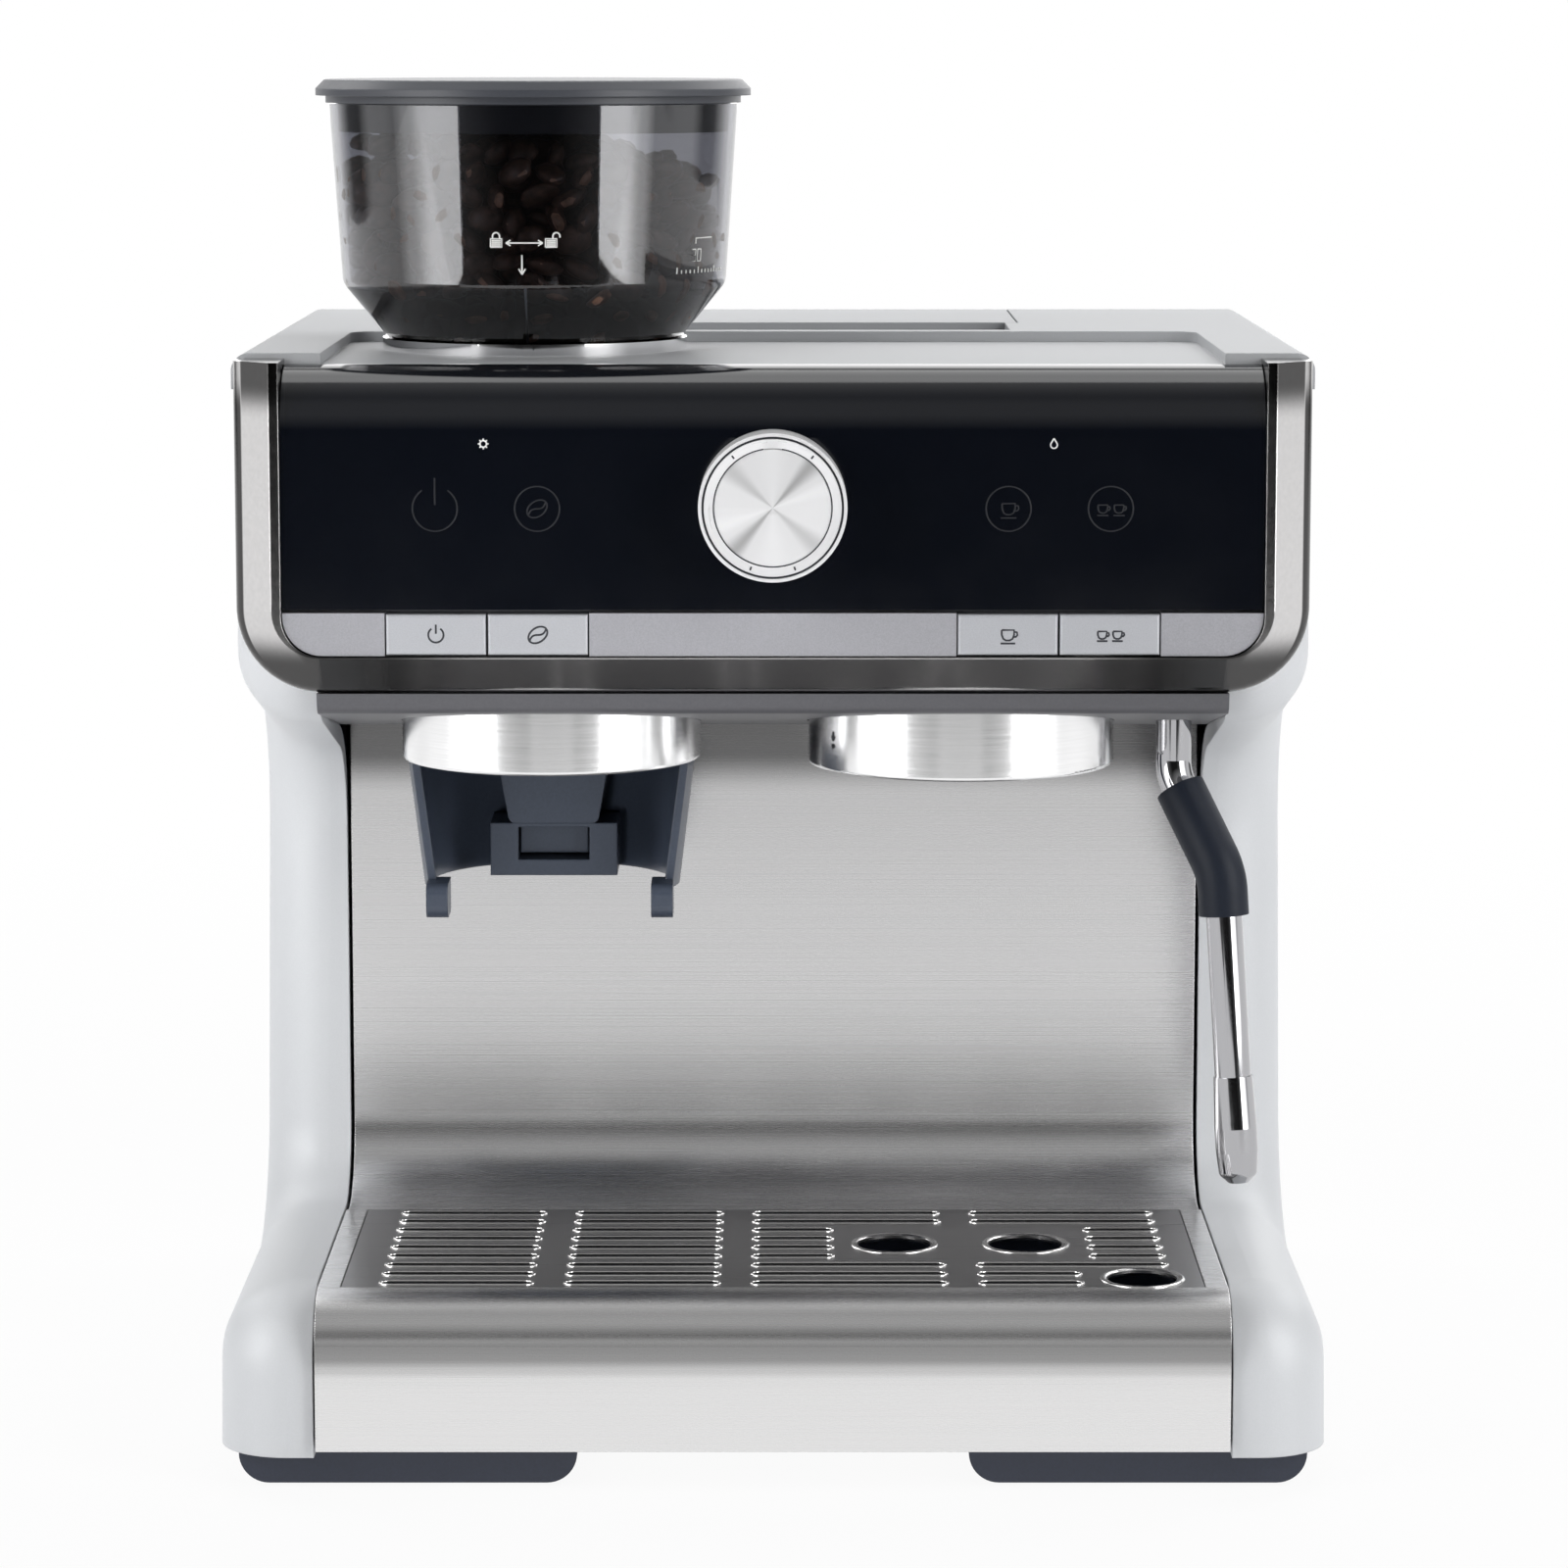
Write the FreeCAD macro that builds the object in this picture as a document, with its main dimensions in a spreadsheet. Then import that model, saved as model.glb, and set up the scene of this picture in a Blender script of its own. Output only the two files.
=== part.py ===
import FreeCAD, Part
import math
import os
import re

import Sketcher

# Driving sizes in millimetres: +X is the machine's right, the front faces -Y, the table is Z = 0
SIZES = {
    # Stance and side housings
    "base_half": 155.5,
    "side_lean": 4.5,
    "housing_depth": 27.5,
    "front_reach": 155.0,
    "rear_reach": 155.0,
    "housing_setback": 2.5,
    "housing_edge": 20.0,
    "housing_nose": 23.0,
    "housing_wall": 3.0,
    "housing_rib": 5.0,
    "housing_hollow": 19.0,
    "arm_drop": 7.5,
    "arm_slope": 24.5,
    "pillar_arch_radius": 30.0,
    "pillar_foot_radius": 21.0,
    "rear_step": 6.3,
    "rear_round": 30.0,
    "rear_skirt": 34.0,
    # Fits
    "seat_gap": 0.3,
    "side_gap": 0.6,
    "run_gap": 0.07,
    # Feet and chassis
    "foot_top": 11.0,
    "foot_lift": 1.0,
    "foot_side_setback": 5.5,
    "foot_length": 95.0,
    "foot_corner": 8.5,
    "foot_front_setback": 13.0,
    "foot_rear_setback": 9.0,
    "pad_radius": 12.0,
    "pad_thick": 3.2,
    "pad_side_setback": 48.0,
    "pad_end_setback": 43.0,
    "floor_thick": 2.0,
    "chassis_gap": 1.6,
    "chassis_front_gap": 6.0,
    "upright_setback": 8.0,
    "upright_gap": 7.6,
    # Backsplash
    "splash_setback": 139.0,
    "splash_sheet": 1.2,
    "splash_lap": 3.5,
    "cove_radius": 24.0,
    "cove_reach": 27.0,
    "cove_lip": 9.0,
    # Drip tray and grid
    "tray_level": 57.0,
    "tray_gap": 0.7,
    "tray_foot": 13.4,
    "tray_nose": 14.0,
    "tray_sheet": 1.4,
    "basin_reach": 3.7,
    "basin_wall": 2.2,
    "basin_flange": 2.4,
    "basin_back": 111.0,
    "basin_corner": 6.0,
    "tray_rail": 6.5,
    "grid_sheet": 1.2,
    "slot_width": 4.4,
    "slot_left_margin": 10.8,
    "slot_right_margin": 8.8,
    "bar_left": -63.0,
    "bar_middle": -10.5,
    "bar_right": 53.5,
    "bar_width": 9.5,
    "slot_rear_margin": 5.0,
    "slot_front_margin": 4.4,
    "drain_radius": 10.6,
    "drain_spread": 19.0,
    "drain_forward": 4.0,
    "drain_land": 7.4,
    "float_hole_radius": 9.8,
    "float_hole_side": 16.8,
    "float_hole_margin": 10.0,
    # Head front
    "bezel_setback": 23.0,
    "head_setback": 44.0,
    "bezel_side_setback": 1.5,
    "head_height": 94.0,
    "bezel_drop": 1.4,
    "bezel_corner": 24.0,
    "bezel_window_corner": 11.0,
    "bezel_bevel_depth": 10.5,
    "bezel_land": 0.4,
    "bezel_edge": 6.0,
    "bezel_width": 13.5,
    "panel_sunk": 1.0,
    "panel_sheet": 2.5,
    "panel_round": 19.0,
    "bezel_bar": 11.2,
    "strip_height": 12.2,
    "strip_thick": 5.8,
    "strip_line": 1.0,
    "carrier_sheet": 2.4,
    "carrier_drop": 23.0,
    "carrier_lap": 5.0,
    # Buttons and boards
    "button_width": 27.6,
    "button_margin": 42.8,
    "button_pitch": 28.2,
    "button_gap": 0.4,
    "button_thick": 3.6,
    "button_proud": 0.5,
    "button_edge": 0.8,
    "stem_width": 9.0,
    "stem_height": 4.4,
    "stem_length": 7.9,
    "button_travel": 2.0,
    "switch_side": 7.0,
    "switch_height": 2.0,
    "switch_drop": 1.0,
    "board_sheet": 1.6,
    "board_side_gap": 9.0,
    "board_rise": 4.0,
    "board_margin": 2.0,
    "post_radius": 3.0,
    "post_margin": 9.0,
    # Knob
    "knob_rise": 54.0,
    "knob_radius": 20.4,
    "knob_height": 15.6,
    "knob_rim": 0.9,
    "knob_groove": 0.7,
    "knob_dish": 0.5,
    "knob_cap_radius": 16.0,
    "knob_cap_thick": 1.8,
    "knob_cap_crown": 0.6,
    "knob_pointer_width": 2.8,
    "knob_pointer_proud": 0.4,
    "knob_pointer_root": 2.0,
    "spindle_radius": 4.0,
    "rotary_side": 28.0,
    "rotary_depth": 14.0,
    "rotary_corner": 4.0,
    "rotary_floor": 4.0,
    "spindle_end_gap": 0.5,
    # Top deck, cup recess and rear
    "deck_level": 316.0,
    "deck_plate": 10.0,
    "deck_edge": 5.0,
    "recess_depth": 3.0,
    "deck_border": 25.0,
    "recess_reach": 13.0,
    "recess_corner": 7.0,
    "scoop_gap": 9.0,
    "scoop_depth": 7.0,
    "scoop_half": 71.0,
    "rear_sheet": 4.0,
    "rear_inset": 1.0,
    "vent_height": 3.0,
    "vent_pitch": 8.0,
    "vent_margin": 11.7,
    "vent_drop": 116.0,
    "gland_margin": 26.0,
    "gland_level": 34.0,
    "gland_radius": 7.0,
    "gland_bore": 4.0,
    "gland_flange": 3.0,
    "gland_tail": 4.0,
    "screw_head": 3.0,
    "screw_shank": 1.5,
    "screw_margin": 9.0,
    "screw_low": 12.0,
    "screw_high": 10.0,
    # Water tank
    "tank_half": 74.6,
    "column_depth": 73.6,
    "tank_level": 41.4,
    "tank_gap": 0.4,
    "tank_wall": 2.4,
    "tank_corner": 8.0,
    "lid_lap": 11.8,
    "lid_wall": 3.0,
    "lid_hinge_radius": 2.5,
    "lid_pin_radius": 1.2,
    "bay_sheet": 2.2,
    "bay_leg": 16.0,
    "valve_reach": 42.4,
    "valve_radius": 8.0,
    "valve_flange": 11.0,
    "valve_drop": 5.4,
    "valve_nose": 1.5,
    "valve_step": 2.0,
    "socket_wall": 3.2,
    "socket_drop": 8.0,
    "socket_room": 1.0,
    "socket_floor": 2.0,
    # Head underside
    "chin_front_setback": 34.0,
    "chin_front_drop": 6.0,
    "chin_back_drop": 19.5,
    "chin_flat": 24.0,
    "chin_rake": 1.5,
    "chin_nose": 4.0,
    "chin_sweep": 30.0,
    "chin_sheet": 2.5,
    "boss_wall": 4.8,
    # Group
    "group_offset": 10.0,
    "outlet_setback": 83.0,
    "group_collar_radius": 44.0,
    "group_collar_wall": 2.1,
    "group_collar_drop": 26.0,
    "group_lip": 2.0,
    "group_socket_radius": 36.2,
    "group_lug_radius": 39.6,
    "group_lug_width": 22.0,
    "group_lug_step": 4.0,
    "group_lug_height": 6.0,
    "group_ceiling": 18.5,
    "group_flange": 6.0,
    "gasket_inner": 29.0,
    "gasket_height": 8.0,
    "screen_radius": 28.6,
    "screen_sheet": 1.2,
    "screen_drop": 6.3,
    "screen_hole": 1.1,
    "screen_pitch": 6.0,
    "screen_corner": 1.5,
    "screen_screw_head": 1.6,
    "screen_screw_depth": 6.0,
    "boiler_radius": 33.0,
    "boiler_height": 58.0,
    "boiler_flange": 3.0,
    "boiler_flange_height": 4.0,
    "boiler_dome": 6.0,
    "boiler_round": 8.0,
    "nozzle_radius": 4.0,
    "nozzle_offset": 16.0,
    "nozzle_length": 12.0,
    "nozzle_root": 8.0,
    # Grinder outlet and fork
    "outlet_collar_radius": 43.0,
    "outlet_collar_wall": 1.4,
    "outlet_collar_drop": 24.5,
    "collar_lip": 1.2,
    "fork_top_radius": 41.2,
    "fork_foot_radius": 36.9,
    "fork_wall": 2.2,
    "fork_shoulder": 1.5,
    "fork_drop": 61.0,
    "fork_opening": 12.0,
    "fork_flange": 3.0,
    "prong_drop": 7.7,
    "prong_height": 10.0,
    "prong_width": 6.2,
    "prong_length": 15.0,
    "prong_root": 5.0,
    "prong_heel": 2.0,
    "prong_toe": 4.0,
    "prong_tip": 3.0,
    "block_half": 18.5,
    "block_front": 10.0,
    "block_skin": 3.6,
    "guide_top_half": 21.0,
    "guide_foot_half": 12.9,
    "guide_corner": 2.4,
    "guide_proud": 0.8,
    "guide_gap": 1.2,
    "paddle_half": 9.8,
    "paddle_gap": 6.0,
    "paddle_thick": 3.0,
    "paddle_hub": 3.0,
    "paddle_pin": 1.6,
    "paddle_pin_reach": 4.0,
    "paddle_rise": 25.0,
    "paddle_inset": 8.0,
    "paddle_room": 16.0,
    "sill_height": 4.6,
    "window_height": 9.6,
    # Grinder and hopper
    "hopper_offset": 6.0,
    "hopper_setback": 125.0,
    "hopper_foot": 41.6,
    "hopper_shoulder": 56.0,
    "hopper_shoulder_rise": 16.0,
    "hopper_rim": 59.5,
    "hopper_rise": 68.0,
    "hopper_wall": 2.0,
    "hopper_bend": 5.0,
    "hopper_neck": 36.0,
    "hopper_neck_length": 15.0,
    "hopper_lift": 1.5,
    "ring_outer": 44.6,
    "ring_height": 3.2,
    "ring_recess": 2.4,
    "ring_seat": 2.0,
    "ring_mark": 3.0,
    "ring_mark_proud": 1.5,
    "cap_flange": 63.4,
    "cap_collar": 2.1,
    "cap_height": 4.6,
    "cap_bevel": 2.6,
    "cap_round": 1.0,
    "cap_lap": 1.0,
    "cap_skirt": 8.2,
    "burr_radius": 30.0,
    "burr_height": 18.0,
    "burr_shelf": 2.0,
    "burr_room": 2.0,
    "burr_flare": 4.4,
    "grind_gap": 0.6,
    "cone_radius": 19.6,
    "cone_tip": 11.0,
    "cone_lift": 0.5,
    "cone_land": 2.5,
    "cone_rise": 1.0,
    "shaft_radius": 5.0,
    "shaft_rise": 4.0,
    "shaft_socket": 14.0,
    "motor_radius": 34.0,
    "motor_drop": 54.0,
    "motor_flange": 4.0,
    "burr_case_radius": 45.0,
    "burr_case_wall": 4.0,
    "burr_case_hub": 4.0,
    "burr_ledge": 10.0,
    "chute_half": 9.0,
    "chute_depth": 14.0,
    "chute_wall": 1.5,
    "chute_rise": 19.0,
    # Steam wand
    "wand_margin": 12.3,
    "wand_setback": 85.0,
    "wand_turn": -45.0,
    "wand_radius": 5.2,
    "wand_bore": 3.2,
    "wand_rise": 4.0,
    "wand_bend_drop": 30.0,
    "wand_elbow_reach": 18.8,
    "wand_elbow_drop": 57.0,
    "wand_tip_reach": 26.6,
    "wand_tip_rise": 18.5,
    "wand_bend": 14.0,
    "wand_elbow": 20.0,
    "grip_radius": 7.2,
    "grip_gap": 0.5,
    "grip_lower": 12.0,
    "sleeve_radius": 6.1,
    "sleeve_length": 31.0,
    "sleeve_floor": 6.0,
    "sleeve_tip": 3.0,
    "sleeve_nose": 2.4,
    "sleeve_belly": 9.0,
    "sleeve_waist": 16.0,
    "sleeve_neck": 0.4,
    "sleeve_round": 2.0,
    "sleeve_draft": 0.6,
    # Parts inside the column
    "pump_length": 46.0,
    "pump_width": 38.0,
    "pump_height": 40.0,
    "pump_offset": 21.0,
    "pump_setback": 35.6,
    "pump_mount": 27.0,
    "pump_nozzle": 8.0,
    "pump_reach": 28.0,
    "hose_radius": 4.0,
    "hose_bend": 9.0,
    "hose_wall": 1.4,
    "hose_turn": 12.0,
    "steam_radius": 3.0,
    "steam_wall": 1.0,
    "steam_bend": 7.0,
    "duct_drop": 6.0,
    "valve_block": 20.0,
    "valve_coil": 24.0,
    "valve_height": 45.0,
    "valve_margin": 14.4,
    "valve_back_gap": 3.0,
    "valve_coil_step": 4.0,
    "valve_block_step": 2.0,
    "main_board_height": 110.0,
    "main_board_drop": 32.0,
    "main_board_gap": 4.5,
    "main_board_margin": 2.0,
    "standoff_inset": 6.0,
    "transformer_depth": 26.0,
    "transformer_width": 30.0,
    "transformer_height": 34.0,
    "transformer_inset": 8.0,
    "relay_depth": 16.0,
    "relay_width": 20.0,
    "relay_height": 12.0,
    "relay_pitch": 18.0,
    "relay_inset": 10.0,
}

# Sizes that follow from the driving ones, as formulas in the same sheet
LINKED = {
    # Widths from the stance, and depths from the front
    "deck_half": "base_half - side_lean",
    "inner_half": "base_half - housing_depth",
    "foot_outer": "base_half - foot_side_setback",
    "foot_inner": "foot_outer - foot_length",
    "pad_x": "foot_outer - pad_side_setback",
    "chassis_half": "inner_half - chassis_gap",
    "splash_half": "inner_half - 2*side_gap",
    "tray_half": "inner_half - tray_gap",
    "basin_half": "tray_half - basin_reach",
    "grid_half": "tray_half - tray_rail",
    "slot_left": "grid_half - slot_left_margin",
    "slot_right": "grid_half - slot_right_margin",
    "float_hole_x": "grid_half - float_hole_side",
    "bezel_half": "deck_half - bezel_side_setback",
    "panel_half": "bezel_half - bezel_width",
    "button_outer": "panel_half - button_margin",
    "button_inner": "button_outer - button_pitch",
    "board_half": "panel_half - board_side_gap",
    "post_x": "board_half - post_margin",
    "recess_half": "deck_half - deck_border",
    "vent_x": "(inner_half + tank_half)/2",
    "vent_width": "inner_half - tank_half - 2*vent_margin",
    "gland_x": "gland_margin - inner_half",
    "screw_x": "inner_half - screw_margin",
    "group_x": "inner_half/2 - group_offset",
    "outlet_x": "-inner_half/2",
    "hopper_x": "outlet_x - hopper_offset",
    "wand_x": "inner_half - wand_margin",
    "pump_x": "inner_half/2 - pump_offset",
    "valve_x": "chassis_half - valve_margin",
    "upright_front": "splash_setback - front_reach + upright_setback",
    "recess_back": "splash_setback - front_reach + recess_reach",
    "scoop_front": "recess_back + scoop_gap",
    "tank_front": "splash_setback - front_reach + column_depth",
    "upright_rear": "tank_front - upright_gap",
    "lid_front": "tank_front - lid_lap",
    "valve_y": "tank_front + valve_reach",
    "pump_y": "tank_front - pump_setback",
    # Levels from the deck
    "bezel_top": "deck_level - bezel_drop",
    "bezel_bottom": "deck_level - head_height",
    "arm_bottom": "bezel_bottom - arm_drop",
    "pillar_arch_level": "arm_bottom - arm_slope",
    "chin_front_level": "bezel_bottom - chin_front_drop",
    "chin_back_level": "bezel_bottom - chin_back_drop",
    "splash_top": "chin_back_level + splash_lap",
    "strip_bottom": "bezel_bottom + bezel_bar",
    "carrier_top": "deck_level - carrier_drop",
    "board_top": "carrier_top + board_rise",
    "knob_level": "bezel_bottom + knob_rise",
    "vent_level": "deck_level - vent_drop",
    "tank_top": "deck_level - rear_skirt - tank_gap",
    "group_collar_bottom": "bezel_bottom - group_collar_drop",
    "outlet_collar_bottom": "bezel_bottom - outlet_collar_drop",
    "fork_bottom": "bezel_bottom - fork_drop",
    "paddle_bottom": "fork_bottom + paddle_gap",
    "paddle_level": "fork_bottom + paddle_rise",
    "hopper_shoulder_level": "deck_level + hopper_shoulder_rise",
    "hopper_rim_level": "deck_level + hopper_rise",
    "motor_top": "deck_level - motor_drop",
    "chute_top": "motor_top + chute_rise",
    "wand_top": "bezel_bottom + wand_rise",
    "wand_bend_level": "bezel_bottom - wand_bend_drop",
    "wand_elbow_level": "bezel_bottom - wand_elbow_drop",
    "wand_tip_level": "tray_level + wand_tip_rise",
    "main_board_top": "bezel_bottom - main_board_drop",
    "main_board_bottom": "main_board_top - main_board_height",
}
NAMES = {*SIZES, *LINKED}

# Places that several pieces share, as formulas of the sizes
front = "(-front_reach)"
splash = "(splash_setback - front_reach)"
split = "(head_setback - front_reach)"
bezel = "(bezel_setback - front_reach)"
panel = f"({bezel} + panel_sunk)"
panel_back = f"({panel} + panel_sheet)"
strip_back = f"({panel} + strip_thick)"
strip_top = "(strip_bottom + strip_height)"
carrier_back = f"({strip_back} + carrier_sheet)"
button_face = f"({panel} - button_proud)"
board_front = f"({button_face} + button_thick + stem_length + button_travel + switch_height)"
deck_under = "(deck_level - deck_plate)"
cup_floor = "(deck_level - recess_depth)"
housing_top = f"({deck_under} - seat_gap)"
rear_plane = "(rear_reach - rear_inset)"
skirt_level = "(deck_level - rear_skirt)"
floor_top = "(foot_top + floor_thick)"
outlet_y = "(outlet_setback - front_reach)"
hopper_y = "(hopper_setback - front_reach)"
wand_y = "(wand_setback - front_reach)"
chin_front = "(chin_front_setback - front_reach)"
chin_top = "(bezel_bottom - seat_gap)"
chin_back = f"({splash} - seat_gap)"
head_room = f"({split} + side_gap)"
group_flange_top = f"({chin_top} + group_flange)"
fork_flange_top = f"({chin_top} + fork_flange)"
grid_back = f"({splash} - cove_reach - seat_gap)"
grid_front = f"({front} + tray_nose + seat_gap)"
grid_under = "(tray_level - grid_sheet)"
basin_top = f"({grid_under} - 0.5*seat_gap)"
tank_rear = f"({rear_plane} - seat_gap)"
lid_foot = "(tank_top + seat_gap)"
lid_axis_y = f"({tank_rear} - lid_hinge_radius)"
lid_axis_z = f"({lid_foot} + lid_hinge_radius)"
bay_inner = "(tank_half + side_gap)"
burr_floor = "(motor_top + burr_ledge)"

doc = FreeCAD.newDocument("EspressoMachine")
sheet = doc.addObject("Spreadsheet::Sheet", "Sizes")
for row, (alias, value) in enumerate([*SIZES.items(), *LINKED.items()], start=1):
    sheet.set(f"A{row}", alias)
    sheet.set(f"B{row}", f"={value}" if alias in LINKED else str(value))
    sheet.setAlias(f"B{row}", alias)
doc.recompute()
nodes = []

TURNS = {
    "Z": FreeCAD.Rotation(),
    "X": FreeCAD.Rotation(FreeCAD.Vector(0, 1, 0), 90),
    "Y": FreeCAD.Rotation(FreeCAD.Vector(1, 0, 0), -90),
    "front": FreeCAD.Rotation(FreeCAD.Vector(1, 0, 0), 90),
}


def ref(formula):
    return re.sub(r"[A-Za-z_]\w*", lambda w: f"Sizes.{w[0]}" if w[0] in NAMES else w[0], str(formula))


def num(formula):
    return float(sheet.evalExpression(ref(formula)))


def bind(thing, prop, formula):
    thing.setExpression(prop, ref(formula))


def place(thing, x="0", y="0", z="0", turn="Z"):
    thing.Placement = FreeCAD.Placement(FreeCAD.Vector(), TURNS[turn])
    for axis, formula in zip("xyz", (x, y, z)):
        bind(thing, f"Placement.Base.{axis}", formula)
    return thing


def node(thing, name):
    thing.Label = name
    nodes.append(thing)
    return thing


def new_body(name):
    return doc.addObject("PartDesign::Body", name)


def new_sketch(body, plane, offset):
    sketch = body.newObject("Sketcher::SketchObject", f"{body.Name}_sketch")
    role = f"{plane}_Plane"
    origin = next(f for f in body.Origin.OriginFeatures if f.Role == role)
    sketch.AttachmentSupport = [(origin, "")]
    sketch.MapMode = "FlatFace"
    bind(sketch, "AttachmentOffset.Base.z", offset)
    return sketch


def pinned(geometry, end, x, y):
    """Rules that hold a point of the sketch at two formulas."""
    rules = []
    for kind, formula in (("DistanceX", x), ("DistanceY", y)):
        rules.append((Sketcher.Constraint(kind, -1, 1, geometry, end, num(formula)), formula))
    return rules


def rounded(curve, formula):
    return (Sketcher.Constraint("Radius", curve, num(formula)), formula)


def free(*terms):
    return (Sketcher.Constraint(*terms), None)


def settle(sketch, rules):
    """Adds all the rules at once, then ties each size to its formula."""
    first = sketch.ConstraintCount
    sketch.addConstraint([rule for rule, formula in rules])
    for index, (rule, formula) in enumerate(rules, start=first):
        if formula is not None:
            bind(sketch, f"Constraints[{index}]", formula)


def draw_circle(sketch, x, y, radius):
    centre = FreeCAD.Vector(num(x), num(y), 0)
    curve = sketch.addGeometry(Part.Circle(centre, FreeCAD.Vector(0, 0, 1), num(radius)), False)
    settle(sketch, [*pinned(curve, 3, x, y), rounded(curve, radius)])


def draw_slot(sketch, left, right, y, width):
    half = num(width) / 2
    low, high = FreeCAD.Vector(num(left), num(y), 0), FreeCAD.Vector(num(right), num(y), 0)
    up, side = FreeCAD.Vector(0, half, 0), FreeCAD.Vector(half, 0, 0)
    lower = sketch.addGeometry(Part.LineSegment(low - up, high - up), False)
    end = sketch.addGeometry(Part.Arc(high - up, high + side, high + up), False)
    upper = sketch.addGeometry(Part.LineSegment(high + up, low + up), False)
    start = sketch.addGeometry(Part.Arc(low + up, low - side, low - up), False)
    rules = [free("Tangent", first, 2, second, 1)
             for first, second in ((lower, end), (end, upper), (upper, start), (start, lower))]
    rules += [rounded(end, f"({width})/2"), *pinned(end, 3, right, y), *pinned(start, 3, left, y)[:1]]
    settle(sketch, rules)


def corner_arc(before, point, after, radius):
    inward, outward = (before - point).normalize(), (after - point).normalize()
    half = inward.getAngle(outward) / 2
    run = radius / math.tan(half)
    centre = point + (inward + outward).normalize() * (radius / math.sin(half))
    middle = centre + (point - centre).normalize() * radius
    return point + inward * run, middle, point + outward * run


def draw_outline(sketch, corners):
    points = [FreeCAD.Vector(num(c[0]), num(c[1]), 0) for c in corners]
    count = len(points)
    arcs = [None] * count
    for i, corner in enumerate(corners):
        if len(corner) > 2:
            arcs[i] = corner_arc(points[i - 1], points[i], points[(i + 1) % count], num(corner[2]))
    lines = []
    for i in range(count):
        after = (i + 1) % count
        start = arcs[i][2] if arcs[i] else points[i]
        end = arcs[after][0] if arcs[after] else points[after]
        lines.append(sketch.addGeometry(Part.LineSegment(start, end), False))
    rules = []
    for i, corner in enumerate(corners):
        before, after = lines[i - 1], lines[i]
        if arcs[i] is None:
            rules += [free("Coincident", before, 2, after, 1), *pinned(after, 1, *corner[:2])]
            continue
        start, middle, end = arcs[i]
        forward = (middle - start).cross(end - middle).z > 0
        arc = sketch.addGeometry(Part.Arc(*(arcs[i] if forward else (end, middle, start))), False)
        tip = sketch.addGeometry(Part.Point(points[i]), True)
        first, last = (1, 2) if forward else (2, 1)
        rules += [
            free("Tangent", before, 2, arc, first),
            free("Tangent", arc, last, after, 1),
            rounded(arc, corner[2]),
            free("PointOnObject", tip, 1, before),
            free("PointOnObject", tip, 1, after),
            *pinned(tip, 1, *corner[:2]),
        ]
    settle(sketch, rules)


def draw(sketch, loops):
    for shape, *sizes in loops:
        {"outline": draw_outline, "circle": draw_circle, "slot": draw_slot}[shape](sketch, *sizes)


def prism(body, plane, low, high, *loops):
    """Adds the loops to the body as a solid from low to high along the plane's normal."""
    sketch = new_sketch(body, plane, f"-({high})" if plane == "XZ" else low)
    draw(sketch, loops)
    pad = body.newObject("PartDesign::Pad", f"{body.Name}_pad")
    pad.Profile = sketch
    bind(pad, "Length", f"({high}) - ({low})")
    return pad


def cutout(body, plane, low, high, *loops):
    """Cuts the loops out of the body from low to high along the plane's normal."""
    doc.recompute()
    volume = body.Shape.Volume
    sketch = new_sketch(body, plane, f"-({low})" if plane == "XZ" else high)
    draw(sketch, loops)
    pocket = body.newObject("PartDesign::Pocket", f"{body.Name}_pocket")
    pocket.Profile = sketch
    bind(pocket, "Length", f"({high}) - ({low})")
    doc.recompute()
    if body.Shape.Volume > volume - 1e-6:
        raise RuntimeError(f"a cut in {body.Name} removes nothing")
    return pocket


def repeat(body, cut, axis, step, count):
    pattern = body.newObject("PartDesign::LinearPattern", f"{body.Name}_row")
    pattern.Originals = [cut]
    pattern.Direction = (cut.Profile[0], [axis])
    bind(pattern, "Length", f"({step})*{count - 1}")
    pattern.Occurrences = count
    body.Tip = pattern
    return pattern


def repeat_round(body, cut, count):
    pattern = body.newObject("PartDesign::PolarPattern", f"{body.Name}_ring")
    pattern.Originals = [cut]
    pattern.Axis = (cut.Profile[0], ["N_Axis"])
    pattern.Angle = 360
    pattern.Occurrences = count
    body.Tip = pattern
    return pattern


def soften(body, radius, chosen):
    """Rounds the edges of the body's last feature that the test chooses."""
    doc.recompute()
    base = body.Tip
    names = [f"Edge{i}" for i, edge in enumerate(base.Shape.Edges, start=1) if chosen(edge)]
    fillet = body.newObject("PartDesign::Fillet", f"{body.Name}_fillet")
    fillet.Base = (base, names)
    bind(fillet, "Radius", radius)
    return fillet


def turned(name, corners, x="0", y="0", z="0", turn="Z"):
    """A solid of revolution: the corners are radius and height on its own axis."""
    body = new_body(name)
    sketch = new_sketch(body, "XZ", "0")
    draw_outline(sketch, corners)
    revolution = body.newObject("PartDesign::Revolution", f"{name}_turn")
    revolution.Profile = sketch
    revolution.ReferenceAxis = (sketch, ["V_Axis"])
    revolution.Angle = 360
    return place(body, x, y, z, turn)


def block(name, x, y, z):
    """A box between pairs of formulas."""
    box = doc.addObject("Part::Box", name)
    for prop, (low, high) in zip(("Length", "Width", "Height"), (x, y, z)):
        bind(box, prop, f"({high}) - ({low})")
    return place(box, x[0], y[0], z[0])


def rod(name, radius, length, x, y, z, turn="Z"):
    cylinder = doc.addObject("Part::Cylinder", name)
    bind(cylinder, "Radius", radius)
    bind(cylinder, "Height", length)
    return place(cylinder, x, y, z, turn)


def join(name, *things):
    union = doc.addObject("Part::MultiFuse", name)
    union.Shapes = list(things)
    return union


def remove(name, base, *tools):
    for tool in tools:
        cut = doc.addObject("Part::Cut", f"{name}_cut")
        cut.Base = base
        cut.Tool = tool
        base = cut
    return base


def overlap(name, first, second):
    common = doc.addObject("Part::Common", name)
    common.Base = first
    common.Tool = second
    return common


def group(name, *things):
    compound = doc.addObject("Part::Compound", name)
    compound.Links = list(things)
    return compound


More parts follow.
